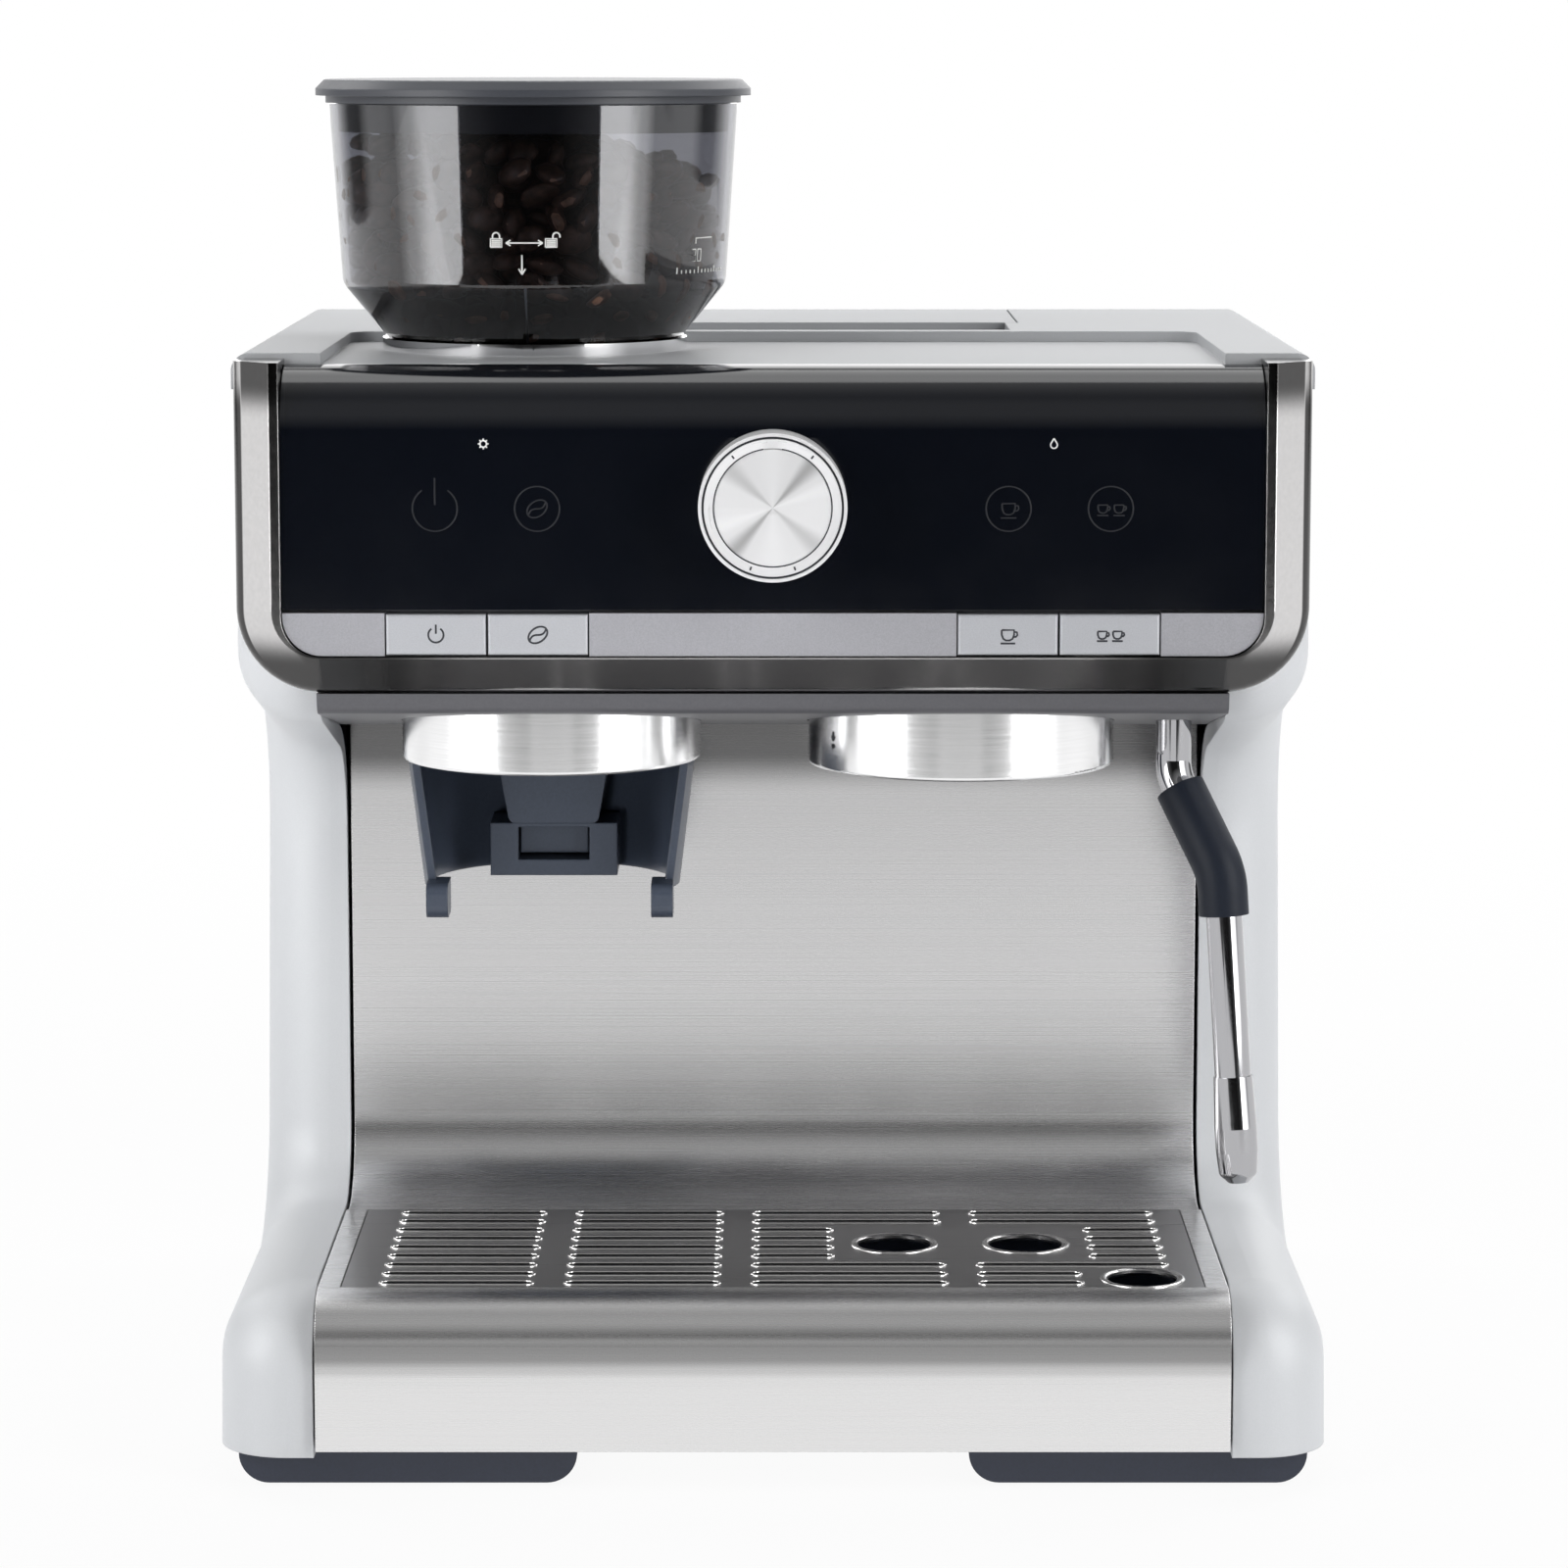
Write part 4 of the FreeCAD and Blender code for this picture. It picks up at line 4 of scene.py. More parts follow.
import bmesh
import bpy
from mathutils import Euler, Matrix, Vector


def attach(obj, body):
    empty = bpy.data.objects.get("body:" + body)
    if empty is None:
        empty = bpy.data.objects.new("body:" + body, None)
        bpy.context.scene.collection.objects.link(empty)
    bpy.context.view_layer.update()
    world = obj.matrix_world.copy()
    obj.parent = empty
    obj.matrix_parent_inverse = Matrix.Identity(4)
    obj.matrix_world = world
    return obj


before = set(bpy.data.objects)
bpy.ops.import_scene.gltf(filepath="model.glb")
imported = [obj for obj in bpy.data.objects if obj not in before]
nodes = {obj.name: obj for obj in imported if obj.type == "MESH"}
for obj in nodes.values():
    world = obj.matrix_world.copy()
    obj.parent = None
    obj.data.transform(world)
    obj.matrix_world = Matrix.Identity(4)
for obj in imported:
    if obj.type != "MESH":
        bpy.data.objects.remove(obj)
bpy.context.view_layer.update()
mm = 0.001
print("frame loaded:", len(nodes), "pieces")

# Camera, at the height and distance of the photograph
cameraSettings = {"place": (0.00308, -1.573, 0.404), "pitch": 8.14, "lens": 120.4, "sensor": 36.0}

cameraData = bpy.data.cameras.new("photoCamera")
cameraData.lens = cameraSettings["lens"]
cameraData.sensor_width = cameraSettings["sensor"]
camera = bpy.data.objects.new("photoCamera", cameraData)
camera.location = cameraSettings["place"]
camera.rotation_euler = (math.radians(90 - cameraSettings["pitch"]), 0, 0)
bpy.context.scene.collection.objects.link(camera)
bpy.context.scene.camera = camera
bpy.context.scene.view_settings.view_transform = "Standard"


# Node helpers
def worked(tree, operation, first, second=None):
    node = tree.nodes.new("ShaderNodeMath")
    node.operation = operation
    for socket, value in zip(node.inputs, (first, second)):
        if isinstance(value, float):
            socket.default_value = value
        elif value is not None:
            tree.links.new(value, socket)
    return node.outputs[0]


def mapped(tree, value, limits, ends=(0.0, 1.0), kind="LINEAR"):
    ramp = tree.nodes.new("ShaderNodeMapRange")
    ramp.interpolation_type = kind
    ramp.inputs["From Min"].default_value, ramp.inputs["From Max"].default_value = limits
    ramp.inputs["To Min"].default_value, ramp.inputs["To Max"].default_value = ends
    tree.links.new(value, ramp.inputs["Value"])
    return ramp.outputs[0]


def eased(tree, value, limits, ends=(0.0, 1.0)):
    return mapped(tree, value, limits, ends, "SMOOTHSTEP")


def toned(tree, share, stops, interpolation="LINEAR"):
    # colours at shares from 0 to 1
    ramp = tree.nodes.new("ShaderNodeValToRGB")
    ramp.color_ramp.interpolation = interpolation
    elements = ramp.color_ramp.elements
    while len(elements) < len(stops):
        elements.new(0.5)
    for element, (spot, colour) in zip(elements, stops):
        element.position = spot
        element.color = (*colour, 1)
    tree.links.new(share, ramp.inputs["Fac"])
    return ramp.outputs["Color"]


def greyRamp(tree, value, limits, stops):
    # grey levels at values between two limits
    low, high = limits
    greys = [((spot - low) / (high - low), (level, level, level)) for spot, level in stops]
    return toned(tree, mapped(tree, value, limits), greys, "EASE")


def partsOf(tree, vector):
    parts = tree.nodes.new("ShaderNodeSeparateXYZ")
    tree.links.new(vector, parts.inputs[0])
    return parts.outputs


def lengthOf(tree, vector):
    reach = tree.nodes.new("ShaderNodeVectorMath")
    reach.operation = "LENGTH"
    tree.links.new(vector, reach.inputs[0])
    return reach.outputs["Value"]


def objectPlace(tree):
    return tree.nodes.new("ShaderNodeTexCoord").outputs["Object"]


def seenWhite(tree, share=None):
    # 1, or the share given, where the lens, metal or glass looks at the backdrop
    path = tree.nodes.new("ShaderNodeLightPath").outputs
    either = path["Is Camera Ray"]
    for ray in ("Is Glossy Ray", "Is Transmission Ray"):
        either = worked(tree, "MAXIMUM", either, path[ray])
    return either if share is None else worked(tree, "MULTIPLY", either, share)


def mixShaders(tree, factor, first, second, output):
    mix = tree.nodes.new("ShaderNodeMixShader")
    tree.links.new(factor, mix.inputs[0])
    tree.links.new(first, mix.inputs[1])
    tree.links.new(second, mix.inputs[2])
    tree.links.new(mix.outputs[0], tree.nodes[output].inputs["Surface"])


# Stage: a pale floor, a white world that is dark behind the camera, soft boxes and a spot
stageSettings = {
    "floorFront": -1.4, "floorBack": 3.2, "floorHalf": 3.2, "stripFront": -1.84, "stripHalf": 0.45,
    "floorColour": (0.86, 0.86, 0.87), "floorRoughness": 0.7, "floorWhite": 0.93, "floorFade": (0.45, 1.15),
    "worldLight": 0.32, "dimAbove": (0.45, 0.9), "dimShare": 0.6,
    "glow": 0.36, "glowRise": (0.15, 0.55), "glowFront": (-0.6, 0.0),
    "tones": [(-0.96, 0.015), (-0.3, 0.5), (0.02, 1.0), (0.26, 0.9), (0.42, 0.14), (0.6, 0.14), (0.8, 1.0)],
}
softBoxes = {
    "keyLeft": {"place": (-1.41, -0.78, 0.70), "aim": (0, 0, 0.22), "size": (1.3, 1.4), "power": 25.0,
                "fade": [(0.0, 0.08), (0.22, 0.32), (0.58, 1.0), (1.0, 1.0)]},
    "keyRight": {"place": (1.33, -0.925, 0.70), "aim": (0, 0, 0.22), "size": (1.1, 1.4), "power": 25.0,
                 "fade": [(0.0, 1.0), (0.42, 1.0), (0.8, 0.32), (1.0, 0.08)]},
    "sideRight": {"place": (1.3, 0.95, 1.3), "aim": (0, 0, 0.2), "size": (0.8, 0.9), "power": 8.0},
    "sideLeft": {"place": (-1.3, 0.95, 1.3), "aim": (0, 0, 0.2), "size": (0.8, 0.9), "power": 7.0},
    "overhead": {"place": (0.0, 0.55, 1.6), "aim": (0, 0, 0.1), "size": (1.5, 1.0), "power": 9.0},
    "rearFill": {"place": (0.3, 1.7, 0.9), "aim": (0, 0, 0.2), "size": (1.6, 1.2), "power": 7.0},
}
forkSpot = {"place": (-0.25, -1.7, 0.10), "aim": (-0.07, -0.07, 0.195), "power": 78.0,
            "cone": 6.5, "blend": 1.0, "radius": 0.12}
white = (1, 1, 1, 1)


def makeFloor():
    s = stageSettings
    half, strip = s["floorHalf"], s["stripHalf"]
    front, ahead, back = s["floorFront"], s["stripFront"], s["floorBack"]
    corners = [(-half, front, 0), (-strip, front, 0), (-strip, ahead, 0), (strip, ahead, 0),
               (strip, front, 0), (half, front, 0), (half, back, 0), (-half, back, 0)]
    mesh = bpy.data.meshes.new("studioFloor")
    mesh.from_pydata(corners, [], [(1, 2, 3, 4), (0, 1, 4, 5, 6, 7)])
    floor = bpy.data.objects.new("studioFloor", mesh)
    bpy.context.scene.collection.objects.link(floor)
    material = bpy.data.materials.new("paleFloor")
    material.use_nodes = True
    tree = material.node_tree
    surface = tree.nodes["Principled BSDF"]
    surface.inputs["Base Color"].default_value = (*s["floorColour"], 1)
    surface.inputs["Roughness"].default_value = s["floorRoughness"]
    backdrop = tree.nodes.new("ShaderNodeEmission")
    backdrop.inputs["Color"].default_value = white
    reach = lengthOf(tree, objectPlace(tree))
    # plain white well away from the machine
    fade = mapped(tree, reach, s["floorFade"], (s["floorWhite"], 1.0))
    mixShaders(tree, seenWhite(tree, fade), surface.outputs[0], backdrop.outputs[0], "Material Output")
    mesh.materials.append(material)


def makeWorld():
    s = stageSettings
    world = bpy.data.worlds.new("studioWorld")
    bpy.context.scene.world = world
    world.use_nodes = True
    tree = world.node_tree
    fill = tree.nodes["Background"]
    fill.inputs["Strength"].default_value = s["worldLight"]
    direction = partsOf(tree, tree.nodes.new("ShaderNodeTexCoord").outputs["Generated"])
    # tones that metal and glass see from the front to the back, dimmer high up
    stops = [((spot + 1) / 2, (tone, tone, tone)) for spot, tone in s["tones"]]
    tones = toned(tree, mapped(tree, direction["Y"], (-1.0, 1.0)), stops)
    dim = mapped(tree, direction["Z"], s["dimAbove"], (1.0, s["dimShare"]))
    level = worked(tree, "MULTIPLY", tones, dim)
    # a faint glow above the front
    rise = mapped(tree, direction["Z"], s["glowRise"], (0.0, s["glow"]))
    ahead = mapped(tree, direction["Y"], s["glowFront"], (1.0, 0.0))
    level = worked(tree, "MAXIMUM", level, worked(tree, "MULTIPLY", rise, ahead))
    # the lens itself always meets white
    path = tree.nodes.new("ShaderNodeLightPath")
    level = worked(tree, "MAXIMUM", level, path.outputs["Is Camera Ray"])
    backdrop = tree.nodes.new("ShaderNodeBackground")
    backdrop.inputs["Color"].default_value = white
    tree.links.new(level, backdrop.inputs["Strength"])
    mixShaders(tree, seenWhite(tree), fill.outputs[0], backdrop.outputs[0], "World Output")


def brightFront(lamp, stops):
    # a soft box that is brightest on the side of the camera and fades away from it
    lamp.use_nodes = True
    tree = lamp.node_tree
    spot = partsOf(tree, tree.nodes.new("ShaderNodeNewGeometry").outputs["Parametric"])
    level = greyRamp(tree, spot["X"], (0.0, 1.0), stops)
    tree.links.new(level, tree.nodes["Emission"].inputs["Strength"])


def placeLamp(lamp, settings):
    lamp.energy = settings["power"]
    lampObject = bpy.data.objects.new(lamp.name, lamp)
    lampObject.location = settings["place"]
    aim = Vector(settings["aim"]) - Vector(settings["place"])
    lampObject.rotation_euler = aim.to_track_quat("-Z", "Y").to_euler()
    bpy.context.scene.collection.objects.link(lampObject)
    return lampObject


def makeLamps():
    for name, box in softBoxes.items():
        lamp = bpy.data.lights.new(name, "AREA")
        lamp.shape = "RECTANGLE"
        lamp.size, lamp.size_y = box["size"]
        if "fade" in box:
            brightFront(lamp, box["fade"])
        placeLamp(lamp, box)
    spot = bpy.data.lights.new("forkSpot", "SPOT")  # reaches under the head, and no metal mirrors it
    spot.spot_size = math.radians(forkSpot["cone"])
    spot.spot_blend = forkSpot["blend"]
    spot.shadow_soft_size = forkSpot["radius"]
    placeLamp(spot, forkSpot).visible_glossy = False


makeFloor()
makeWorld()
makeLamps()
print("stage ready")

# Finishes
grainNoise = {"detail": 3.0, "roughness": 0.6, "roughSpan": (0.25, 0.75), "colourSpan": (0.3, 0.7),
              "edgeSamples": 4}


def newFinish(name, colour, roughness, metallic=0.0, **sockets):
    material = bpy.data.materials.new(name)
    material.use_nodes = True
    surface = material.node_tree.nodes["Principled BSDF"]
    surface.inputs["Base Color"].default_value = (*colour, 1)
    surface.inputs["Roughness"].default_value = roughness
    surface.inputs["Metallic"].default_value = metallic
    for socket, value in sockets.items():
        surface.inputs[socket.replace("_", " ")].default_value = value
    return material


def grainTexture(tree, scale, detail):
    # noise in the part's own coordinates, with one scale or a scale for each axis
    stretch = tree.nodes.new("ShaderNodeMapping")
    stretch.inputs["Scale"].default_value = scale if isinstance(scale, tuple) else (scale, scale, scale)
    noise = tree.nodes.new("ShaderNodeTexNoise")
    noise.inputs["Scale"].default_value = 1.0
    noise.inputs["Detail"].default_value = detail
    noise.inputs["Roughness"].default_value = grainNoise["roughness"]
    tree.links.new(objectPlace(tree), stretch.inputs["Vector"])
    tree.links.new(stretch.outputs[0], noise.inputs["Vector"])
    return noise.outputs["Fac"]


def shade(colour, factor):
    return tuple(min(1.0, c * factor) for c in colour)


def grained(name, scale, rough, colour=0.0, bump=None, edge=None, detail=grainNoise["detail"]):
    # one noise drives roughness, colour and relief of a finish
    tree = finishes[name].node_tree
    surface = tree.nodes["Principled BSDF"]
    grain = grainTexture(tree, scale, detail)
    middle = surface.inputs["Roughness"].default_value
    uneven = mapped(tree, grain, grainNoise["roughSpan"], (middle * (1 - rough), middle * (1 + rough)))
    tree.links.new(uneven, surface.inputs["Roughness"])
    if colour:
        base = tuple(surface.inputs["Base Color"].default_value)[:3]
        shades = [shade(base, 1 - colour), shade(base, 1 + colour)]
        mottle = toned(tree, grain, list(zip(grainNoise["colourSpan"], shades)))
        tree.links.new(mottle, surface.inputs["Base Color"])
    normal = None
    if edge:
        rounded = tree.nodes.new("ShaderNodeBevel")
        rounded.samples = grainNoise["edgeSamples"]
        rounded.inputs["Radius"].default_value = edge
        normal = rounded.outputs[0]
    if bump:
        relief = tree.nodes.new("ShaderNodeBump")
        relief.inputs["Strength"].default_value, relief.inputs["Distance"].default_value = bump
        tree.links.new(grain, relief.inputs["Height"])
        if normal:
            tree.links.new(normal, relief.inputs["Normal"])
        normal = relief.outputs[0]
    if normal:
        tree.links.new(normal, surface.inputs["Normal"])


def smearedAlong(name, direction):
    tree = finishes[name].node_tree
    vector = tree.nodes.new("ShaderNodeCombineXYZ")
    for socket, share in zip(vector.inputs, direction):
        socket.default_value = share
    tree.links.new(vector.outputs[0], tree.nodes["Principled BSDF"].inputs["Tangent"])


def smearedAround(name, axis):
    tree = finishes[name].node_tree
    tangent = tree.nodes.new("ShaderNodeTangent")
    tangent.direction_type = "RADIAL"
    tangent.axis = axis
    tree.links.new(tangent.outputs[0], tree.nodes["Principled BSDF"].inputs["Tangent"])


def paintShade(tree, factor):
    # painted shade: the colour so far, times a factor that varies over the piece
    deep = tree.nodes.new("ShaderNodeVectorMath")
    deep.operation = "SCALE"
    colour = tree.nodes["Principled BSDF"].inputs["Base Color"]
    tree.links.new(colour.links[0].from_socket, deep.inputs[0])
    tree.links.new(factor, deep.inputs["Scale"])
    tree.links.new(deep.outputs[0], colour)


def paintedShadeByHeight(name, stops):
    # painted shade: the colour darkened by height, from pairs of height and share
    tree = finishes[name].node_tree
    height = partsOf(tree, objectPlace(tree))["Z"]
    paintShade(tree, greyRamp(tree, height, (stops[0][0], stops[-1][0]), stops))


def paintFrameReflections(name, tones):
    # uprights brushed up and down; painted dark reflections on the upper ends, the bar ends and the round
    # outer edge
    tree = finishes[name].node_tree
    parts = partsOf(tree, objectPlace(tree))
    across, height = worked(tree, "ABSOLUTE", parts["X"]), parts["Z"]
    level = worked(tree, "MAXIMUM", eased(tree, across, tones["barSpan"], (1.0, 0.0)),
                   eased(tree, height, tones["barRise"], (1.0, 0.0)))
    upright = worked(tree, "SUBTRACT", 1.0, level)
    corner = tree.nodes.new("ShaderNodeCombineXYZ")  # from the middle of the round corners, outwards
    aside = worked(tree, "SUBTRACT", across, tones["corner"][0])
    below = worked(tree, "SUBTRACT", tones["corner"][1], height)
    tree.links.new(worked(tree, "MAXIMUM", aside, 0.0), corner.inputs["X"])
    tree.links.new(worked(tree, "MAXIMUM", below, 0.0), corner.inputs["Z"])
    reach = lengthOf(tree, corner.outputs[0])
    inner = eased(tree, reach, tones["edge"], (1.0, 0.0))
    outer = eased(tree, reach, tones["edge"])
    upperEnd = eased(tree, height, tones["upperEnd"], (0.0, tones["upperShare"]))
    upperEnd = worked(tree, "MULTIPLY", worked(tree, "MULTIPLY", inner, upperEnd), upright)
    rim = eased(tree, height, tones["upperRim"], (1.0, tones["rimShare"]))
    rim = worked(tree, "MULTIPLY", outer, rim)
    rim = worked(tree, "MULTIPLY", rim, eased(tree, across, tones["rimEnds"]))
    barEnd = worked(tree, "MULTIPLY", level, eased(tree, across, tones["barEnds"]))
    dark = worked(tree, "MAXIMUM", worked(tree, "MAXIMUM", upperEnd, rim), barEnd)
    paintShade(tree, eased(tree, dark, (0.0, 1.0), (1.0, tones["darkShare"])))
    vector = tree.nodes.new("ShaderNodeCombineXYZ")
    vector.inputs["Y"].default_value = tones["smearDepth"]  # keeps the smear off the sides' normal
    tree.links.new(upright, vector.inputs["X"])
    tree.links.new(level, vector.inputs["Z"])
    tree.links.new(vector.outputs[0], tree.nodes["Principled BSDF"].inputs["Tangent"])


def smokeByHeight(name, limits, dark):
    # the tint deepens towards the foot of the tub
    tree = finishes[name].node_tree
    colour = tree.nodes["Principled BSDF"].inputs["Base Color"]
    pale = tuple(colour.default_value)[:3]
    rise = mapped(tree, partsOf(tree, objectPlace(tree))["Z"], limits)
    tree.links.new(toned(tree, rise, [(0.0, dark), (1.0, pale)]), colour)


def paintFanReflection(name, disc):
    # painted reflection of turned metal: pale and dark wedges about the middle of a face across Y, alike on
    # both halves
    tree = finishes[name].node_tree
    parts = partsOf(tree, objectPlace(tree))
    across = worked(tree, "SUBTRACT", parts["X"], disc["centre"][0])
    height = worked(tree, "SUBTRACT", parts["Z"], disc["centre"][1])
    turn = mapped(tree, worked(tree, "ARCTAN2", height, across), (-math.pi, math.pi))
    wedges = []
    for half in (0.0, 0.5):
        for spot, level in disc["wedges"]:
            wedges.append((spot + half, (level, level, level * disc["blue"])))
    tree.links.new(toned(tree, turn, wedges, "EASE"), tree.nodes["Principled BSDF"].inputs["Base Color"])


finishSettings = {
    "satinSilver": {"colour": (0.69, 0.705, 0.725), "roughness": 0.5, "metallic": 0.1},
    # a darker copy of the satin silver: painted shade on the deck and tank lid
    "deckSilverPaintedShade": {"colour": (0.47, 0.48, 0.495), "roughness": 0.5, "Specular_IOR_Level": 0.25},
    "brushedSteelPaintedShade": {"colour": (0.89, 0.885, 0.89), "roughness": 0.27, "metallic": 1.0, "Anisotropic": 0.65},
    "fasciaSteelPaintedReflection": {"colour": (0.88, 0.875, 0.875), "roughness": 0.27, "metallic": 1.0, "Anisotropic": 0.65},
    "gridSteel": {"colour": (0.40, 0.395, 0.40), "roughness": 0.32, "metallic": 1.0, "Anisotropic": 0.4},
    "lipSteel": {"colour": (0.82, 0.81, 0.80), "roughness": 0.16, "metallic": 1.0},
    "frameSteelPaintedReflection": {"colour": (0.66, 0.65, 0.65), "roughness": 0.15, "metallic": 1.0, "Anisotropic": 0.6},
    "turnedSteel": {"colour": (0.94, 0.94, 0.945), "roughness": 0.22, "metallic": 1.0, "Anisotropic": 0.6},
    "knobSteel": {"colour": (0.86, 0.86, 0.87), "roughness": 0.30, "metallic": 0.15},
    "polishedChrome": {"colour": (0.84, 0.84, 0.85), "roughness": 0.06, "metallic": 1.0},
    # a darker copy of the chrome: painted dark reflections on the wand
    "wandChromePaintedShade": {"colour": (0.45, 0.45, 0.465), "roughness": 0.06, "metallic": 1.0},
    "spunDiscPaintedReflection": {"colour": (0.84, 0.85, 0.86), "roughness": 0.34, "metallic": 0.3, "Anisotropic": 0.6,
                 "Anisotropic_Rotation": 0.25},
    "blackGloss": {"colour": (0.003, 0.004, 0.007), "roughness": 0.10, "IOR": 1.58},
    "stripMetal": {"colour": (0.42, 0.42, 0.45), "roughness": 0.40, "metallic": 0.25},
    "buttonMetal": {"colour": (0.52, 0.53, 0.56), "roughness": 0.38, "metallic": 0.2},
    "darkPlastic": {"colour": (0.028, 0.034, 0.054), "roughness": 0.38},
    "forkPlastic": {"colour": (0.050, 0.062, 0.088), "roughness": 0.34},
    "lidPlastic": {"colour": (0.055, 0.059, 0.071), "roughness": 0.40},
    "softRubber": {"colour": (0.010, 0.014, 0.024), "roughness": 0.5, "Specular_IOR_Level": 0.25},
    "greyPlastic": {"colour": (0.12, 0.12, 0.13), "roughness": 0.5},
    "chinPlastic": {"colour": (0.10, 0.10, 0.11), "roughness": 0.42},
    "smokedPlastic": {"colour": (0.345, 0.35, 0.385), "roughness": 0.02, "Transmission_Weight": 1.0,
                      "IOR": 1.66, "Specular_IOR_Level": 1.0},
    "clearPlastic": {"colour": (0.72, 0.76, 0.80), "roughness": 0.06, "Transmission_Weight": 1.0,
                     "IOR": 1.45},
    "plainSteel": {"colour": (0.52, 0.52, 0.53), "roughness": 0.34, "metallic": 1.0},
    "castMetal": {"colour": (0.48, 0.48, 0.49), "roughness": 0.5, "metallic": 1.0},
    "boardGreen": {"colour": (0.02, 0.10, 0.045), "roughness": 0.5},
    "valveBrass": {"colour": (0.62, 0.44, 0.18), "roughness": 0.32, "metallic": 1.0},
    "paleTube": {"colour": (0.62, 0.62, 0.58), "roughness": 0.45},
    "roastBean": {"colour": (0.165, 0.088, 0.060), "roughness": 0.36},
    # dark print, and the knob's lines of painted shade
    "darkInkAndShade": {"colour": (0.025, 0.027, 0.034), "roughness": 0.5},
    "paleInk": {"colour": (0.82, 0.82, 0.80), "roughness": 0.5},
    "faintInk": {"colour": (0.012, 0.013, 0.017), "roughness": 0.3},
}
finishes = {name: newFinish(name, **values) for name, values in finishSettings.items()}

grainSettings = {
    "satinSilver": {"scale": 2200, "rough": 0.10, "colour": 0.02, "bump": (0.04, 0.0002), "edge": 0.0006},
    "deckSilverPaintedShade": {"scale": 2200, "rough": 0.10, "colour": 0.02, "bump": (0.04, 0.0002), "edge": 0.0006},
    "brushedSteelPaintedShade": {"scale": (5, 2600, 2600), "rough": 0.06, "colour": 0.012, "edge": 0.0004},
    "fasciaSteelPaintedReflection": {"scale": (7, 2600, 2600), "rough": 0.06, "colour": 0.008, "edge": 0.0004},
    "gridSteel": {"scale": (12, 1500, 1500), "rough": 0.18, "colour": 0.08, "bump": (0.05, 0.0001)},
    "lipSteel": {"scale": 300, "rough": 0.2, "colour": 0.04},
    "frameSteelPaintedReflection": {"scale": 700, "rough": 0.15, "colour": 0.03, "edge": 0.0004},
    "knobSteel": {"scale": (60, 2600, 60), "rough": 0.15, "colour": 0.03},
    "turnedSteel": {"scale": (40, 40, 2600), "rough": 0.2, "colour": 0.04, "bump": (0.04, 0.0001)},
    "polishedChrome": {"scale": 90, "rough": 0.3},
    "wandChromePaintedShade": {"scale": 90, "rough": 0.3},
    "blackGloss": {"scale": 40, "rough": 0.3},
    "stripMetal": {"scale": 2600, "rough": 0.10, "colour": 0.09, "bump": (0.08, 0.0002), "detail": 2.0},
    "buttonMetal": {"scale": 2600, "rough": 0.10, "colour": 0.06,
                    "bump": (0.06, 0.0002), "edge": 0.0003, "detail": 2.0},
    "darkPlastic": {"scale": 1300, "rough": 0.14, "colour": 0.10, "bump": (0.10, 0.0002), "edge": 0.0006},
    "forkPlastic": {"scale": 1300, "rough": 0.14, "colour": 0.10, "bump": (0.08, 0.0002), "edge": 0.0008},
    "lidPlastic": {"scale": 1500, "rough": 0.10, "colour": 0.06, "bump": (0.06, 0.0002), "edge": 0.0006},
    "softRubber": {"scale": 900, "rough": 0.12, "colour": 0.12, "bump": (0.15, 0.0003)},
    "greyPlastic": {"scale": 1200, "rough": 0.10, "colour": 0.08, "bump": (0.10, 0.0002)},
    "chinPlastic": {"scale": 1200, "rough": 0.10, "colour": 0.08, "bump": (0.08, 0.0002)},
    "smokedPlastic": {"scale": 30, "rough": 0.4},
    "clearPlastic": {"scale": 30, "rough": 0.4},
    "plainSteel": {"scale": 400, "rough": 0.18, "colour": 0.07},
    "castMetal": {"scale": 900, "rough": 0.16, "colour": 0.08, "bump": (0.2, 0.0003)},
    "boardGreen": {"scale": 300, "rough": 0.16, "colour": 0.16},
    "valveBrass": {"scale": 300, "rough": 0.18, "colour": 0.07},
    "paleTube": {"scale": 200, "rough": 0.11, "colour": 0.07},
    "roastBean": {"scale": 420, "rough": 0.25, "colour": 0.45, "bump": (0.25, 0.0003)},
    "darkInkAndShade": {"scale": 800, "rough": 0.1, "colour": 0.1},
    "paleInk": {"scale": 800, "rough": 0.1, "colour": 0.04},
    "faintInk": {"scale": 800, "rough": 0.1, "colour": 0.1},
}
for name, values in grainSettings.items():
    grained(name, **values)

# Smears across the brush lines, and painted shade and reflections that follow the form
smearDirections = {
    "brushedSteelPaintedShade": (0, 0.7, 0.7), "fasciaSteelPaintedReflection": (0, 0.7, 0.7), "gridSteel": (0, 0.7, 0.7),
    "turnedSteel": (0, 0, 1),
}
# painted shadow and reflections on the steel, as heights and shares of the colour
steelPaintedShade = {
    "brushedSteelPaintedShade": [  # painted reflection above the cove, then painted shadow under the head
        (0.062, 0.98), (0.071, 0.96), (0.089, 0.83), (0.108, 0.96), (0.122, 1.0),
        (0.178, 1.0), (0.191, 0.27), (0.206, 0.25)],
    "fasciaSteelPaintedReflection": [  # painted dark reflection along the rolled upper edge
        (0.030, 1.0), (0.034, 0.97), (0.0365, 0.75), (0.040, 0.40),
        (0.043, 0.36), (0.046, 0.8), (0.050, 1.0)],
}
# where the bezel gets painted dark reflections: the upper ends, the outer round rim and the bar ends
frameReflectionMasks = {
    "barSpan": (0.128, 0.139), "barRise": (0.229, 0.243), "corner": (0.1255, 0.246), "edge": (0.0212, 0.0219),
    "upperEnd": (0.2965, 0.309), "upperShare": 0.9, "upperRim": (0.300, 0.312), "rimShare": 0.3,
    "rimEnds": (0.124, 0.134), "barEnds": (0.07, 0.116), "darkShare": 0.12, "smearDepth": 0.6,
}
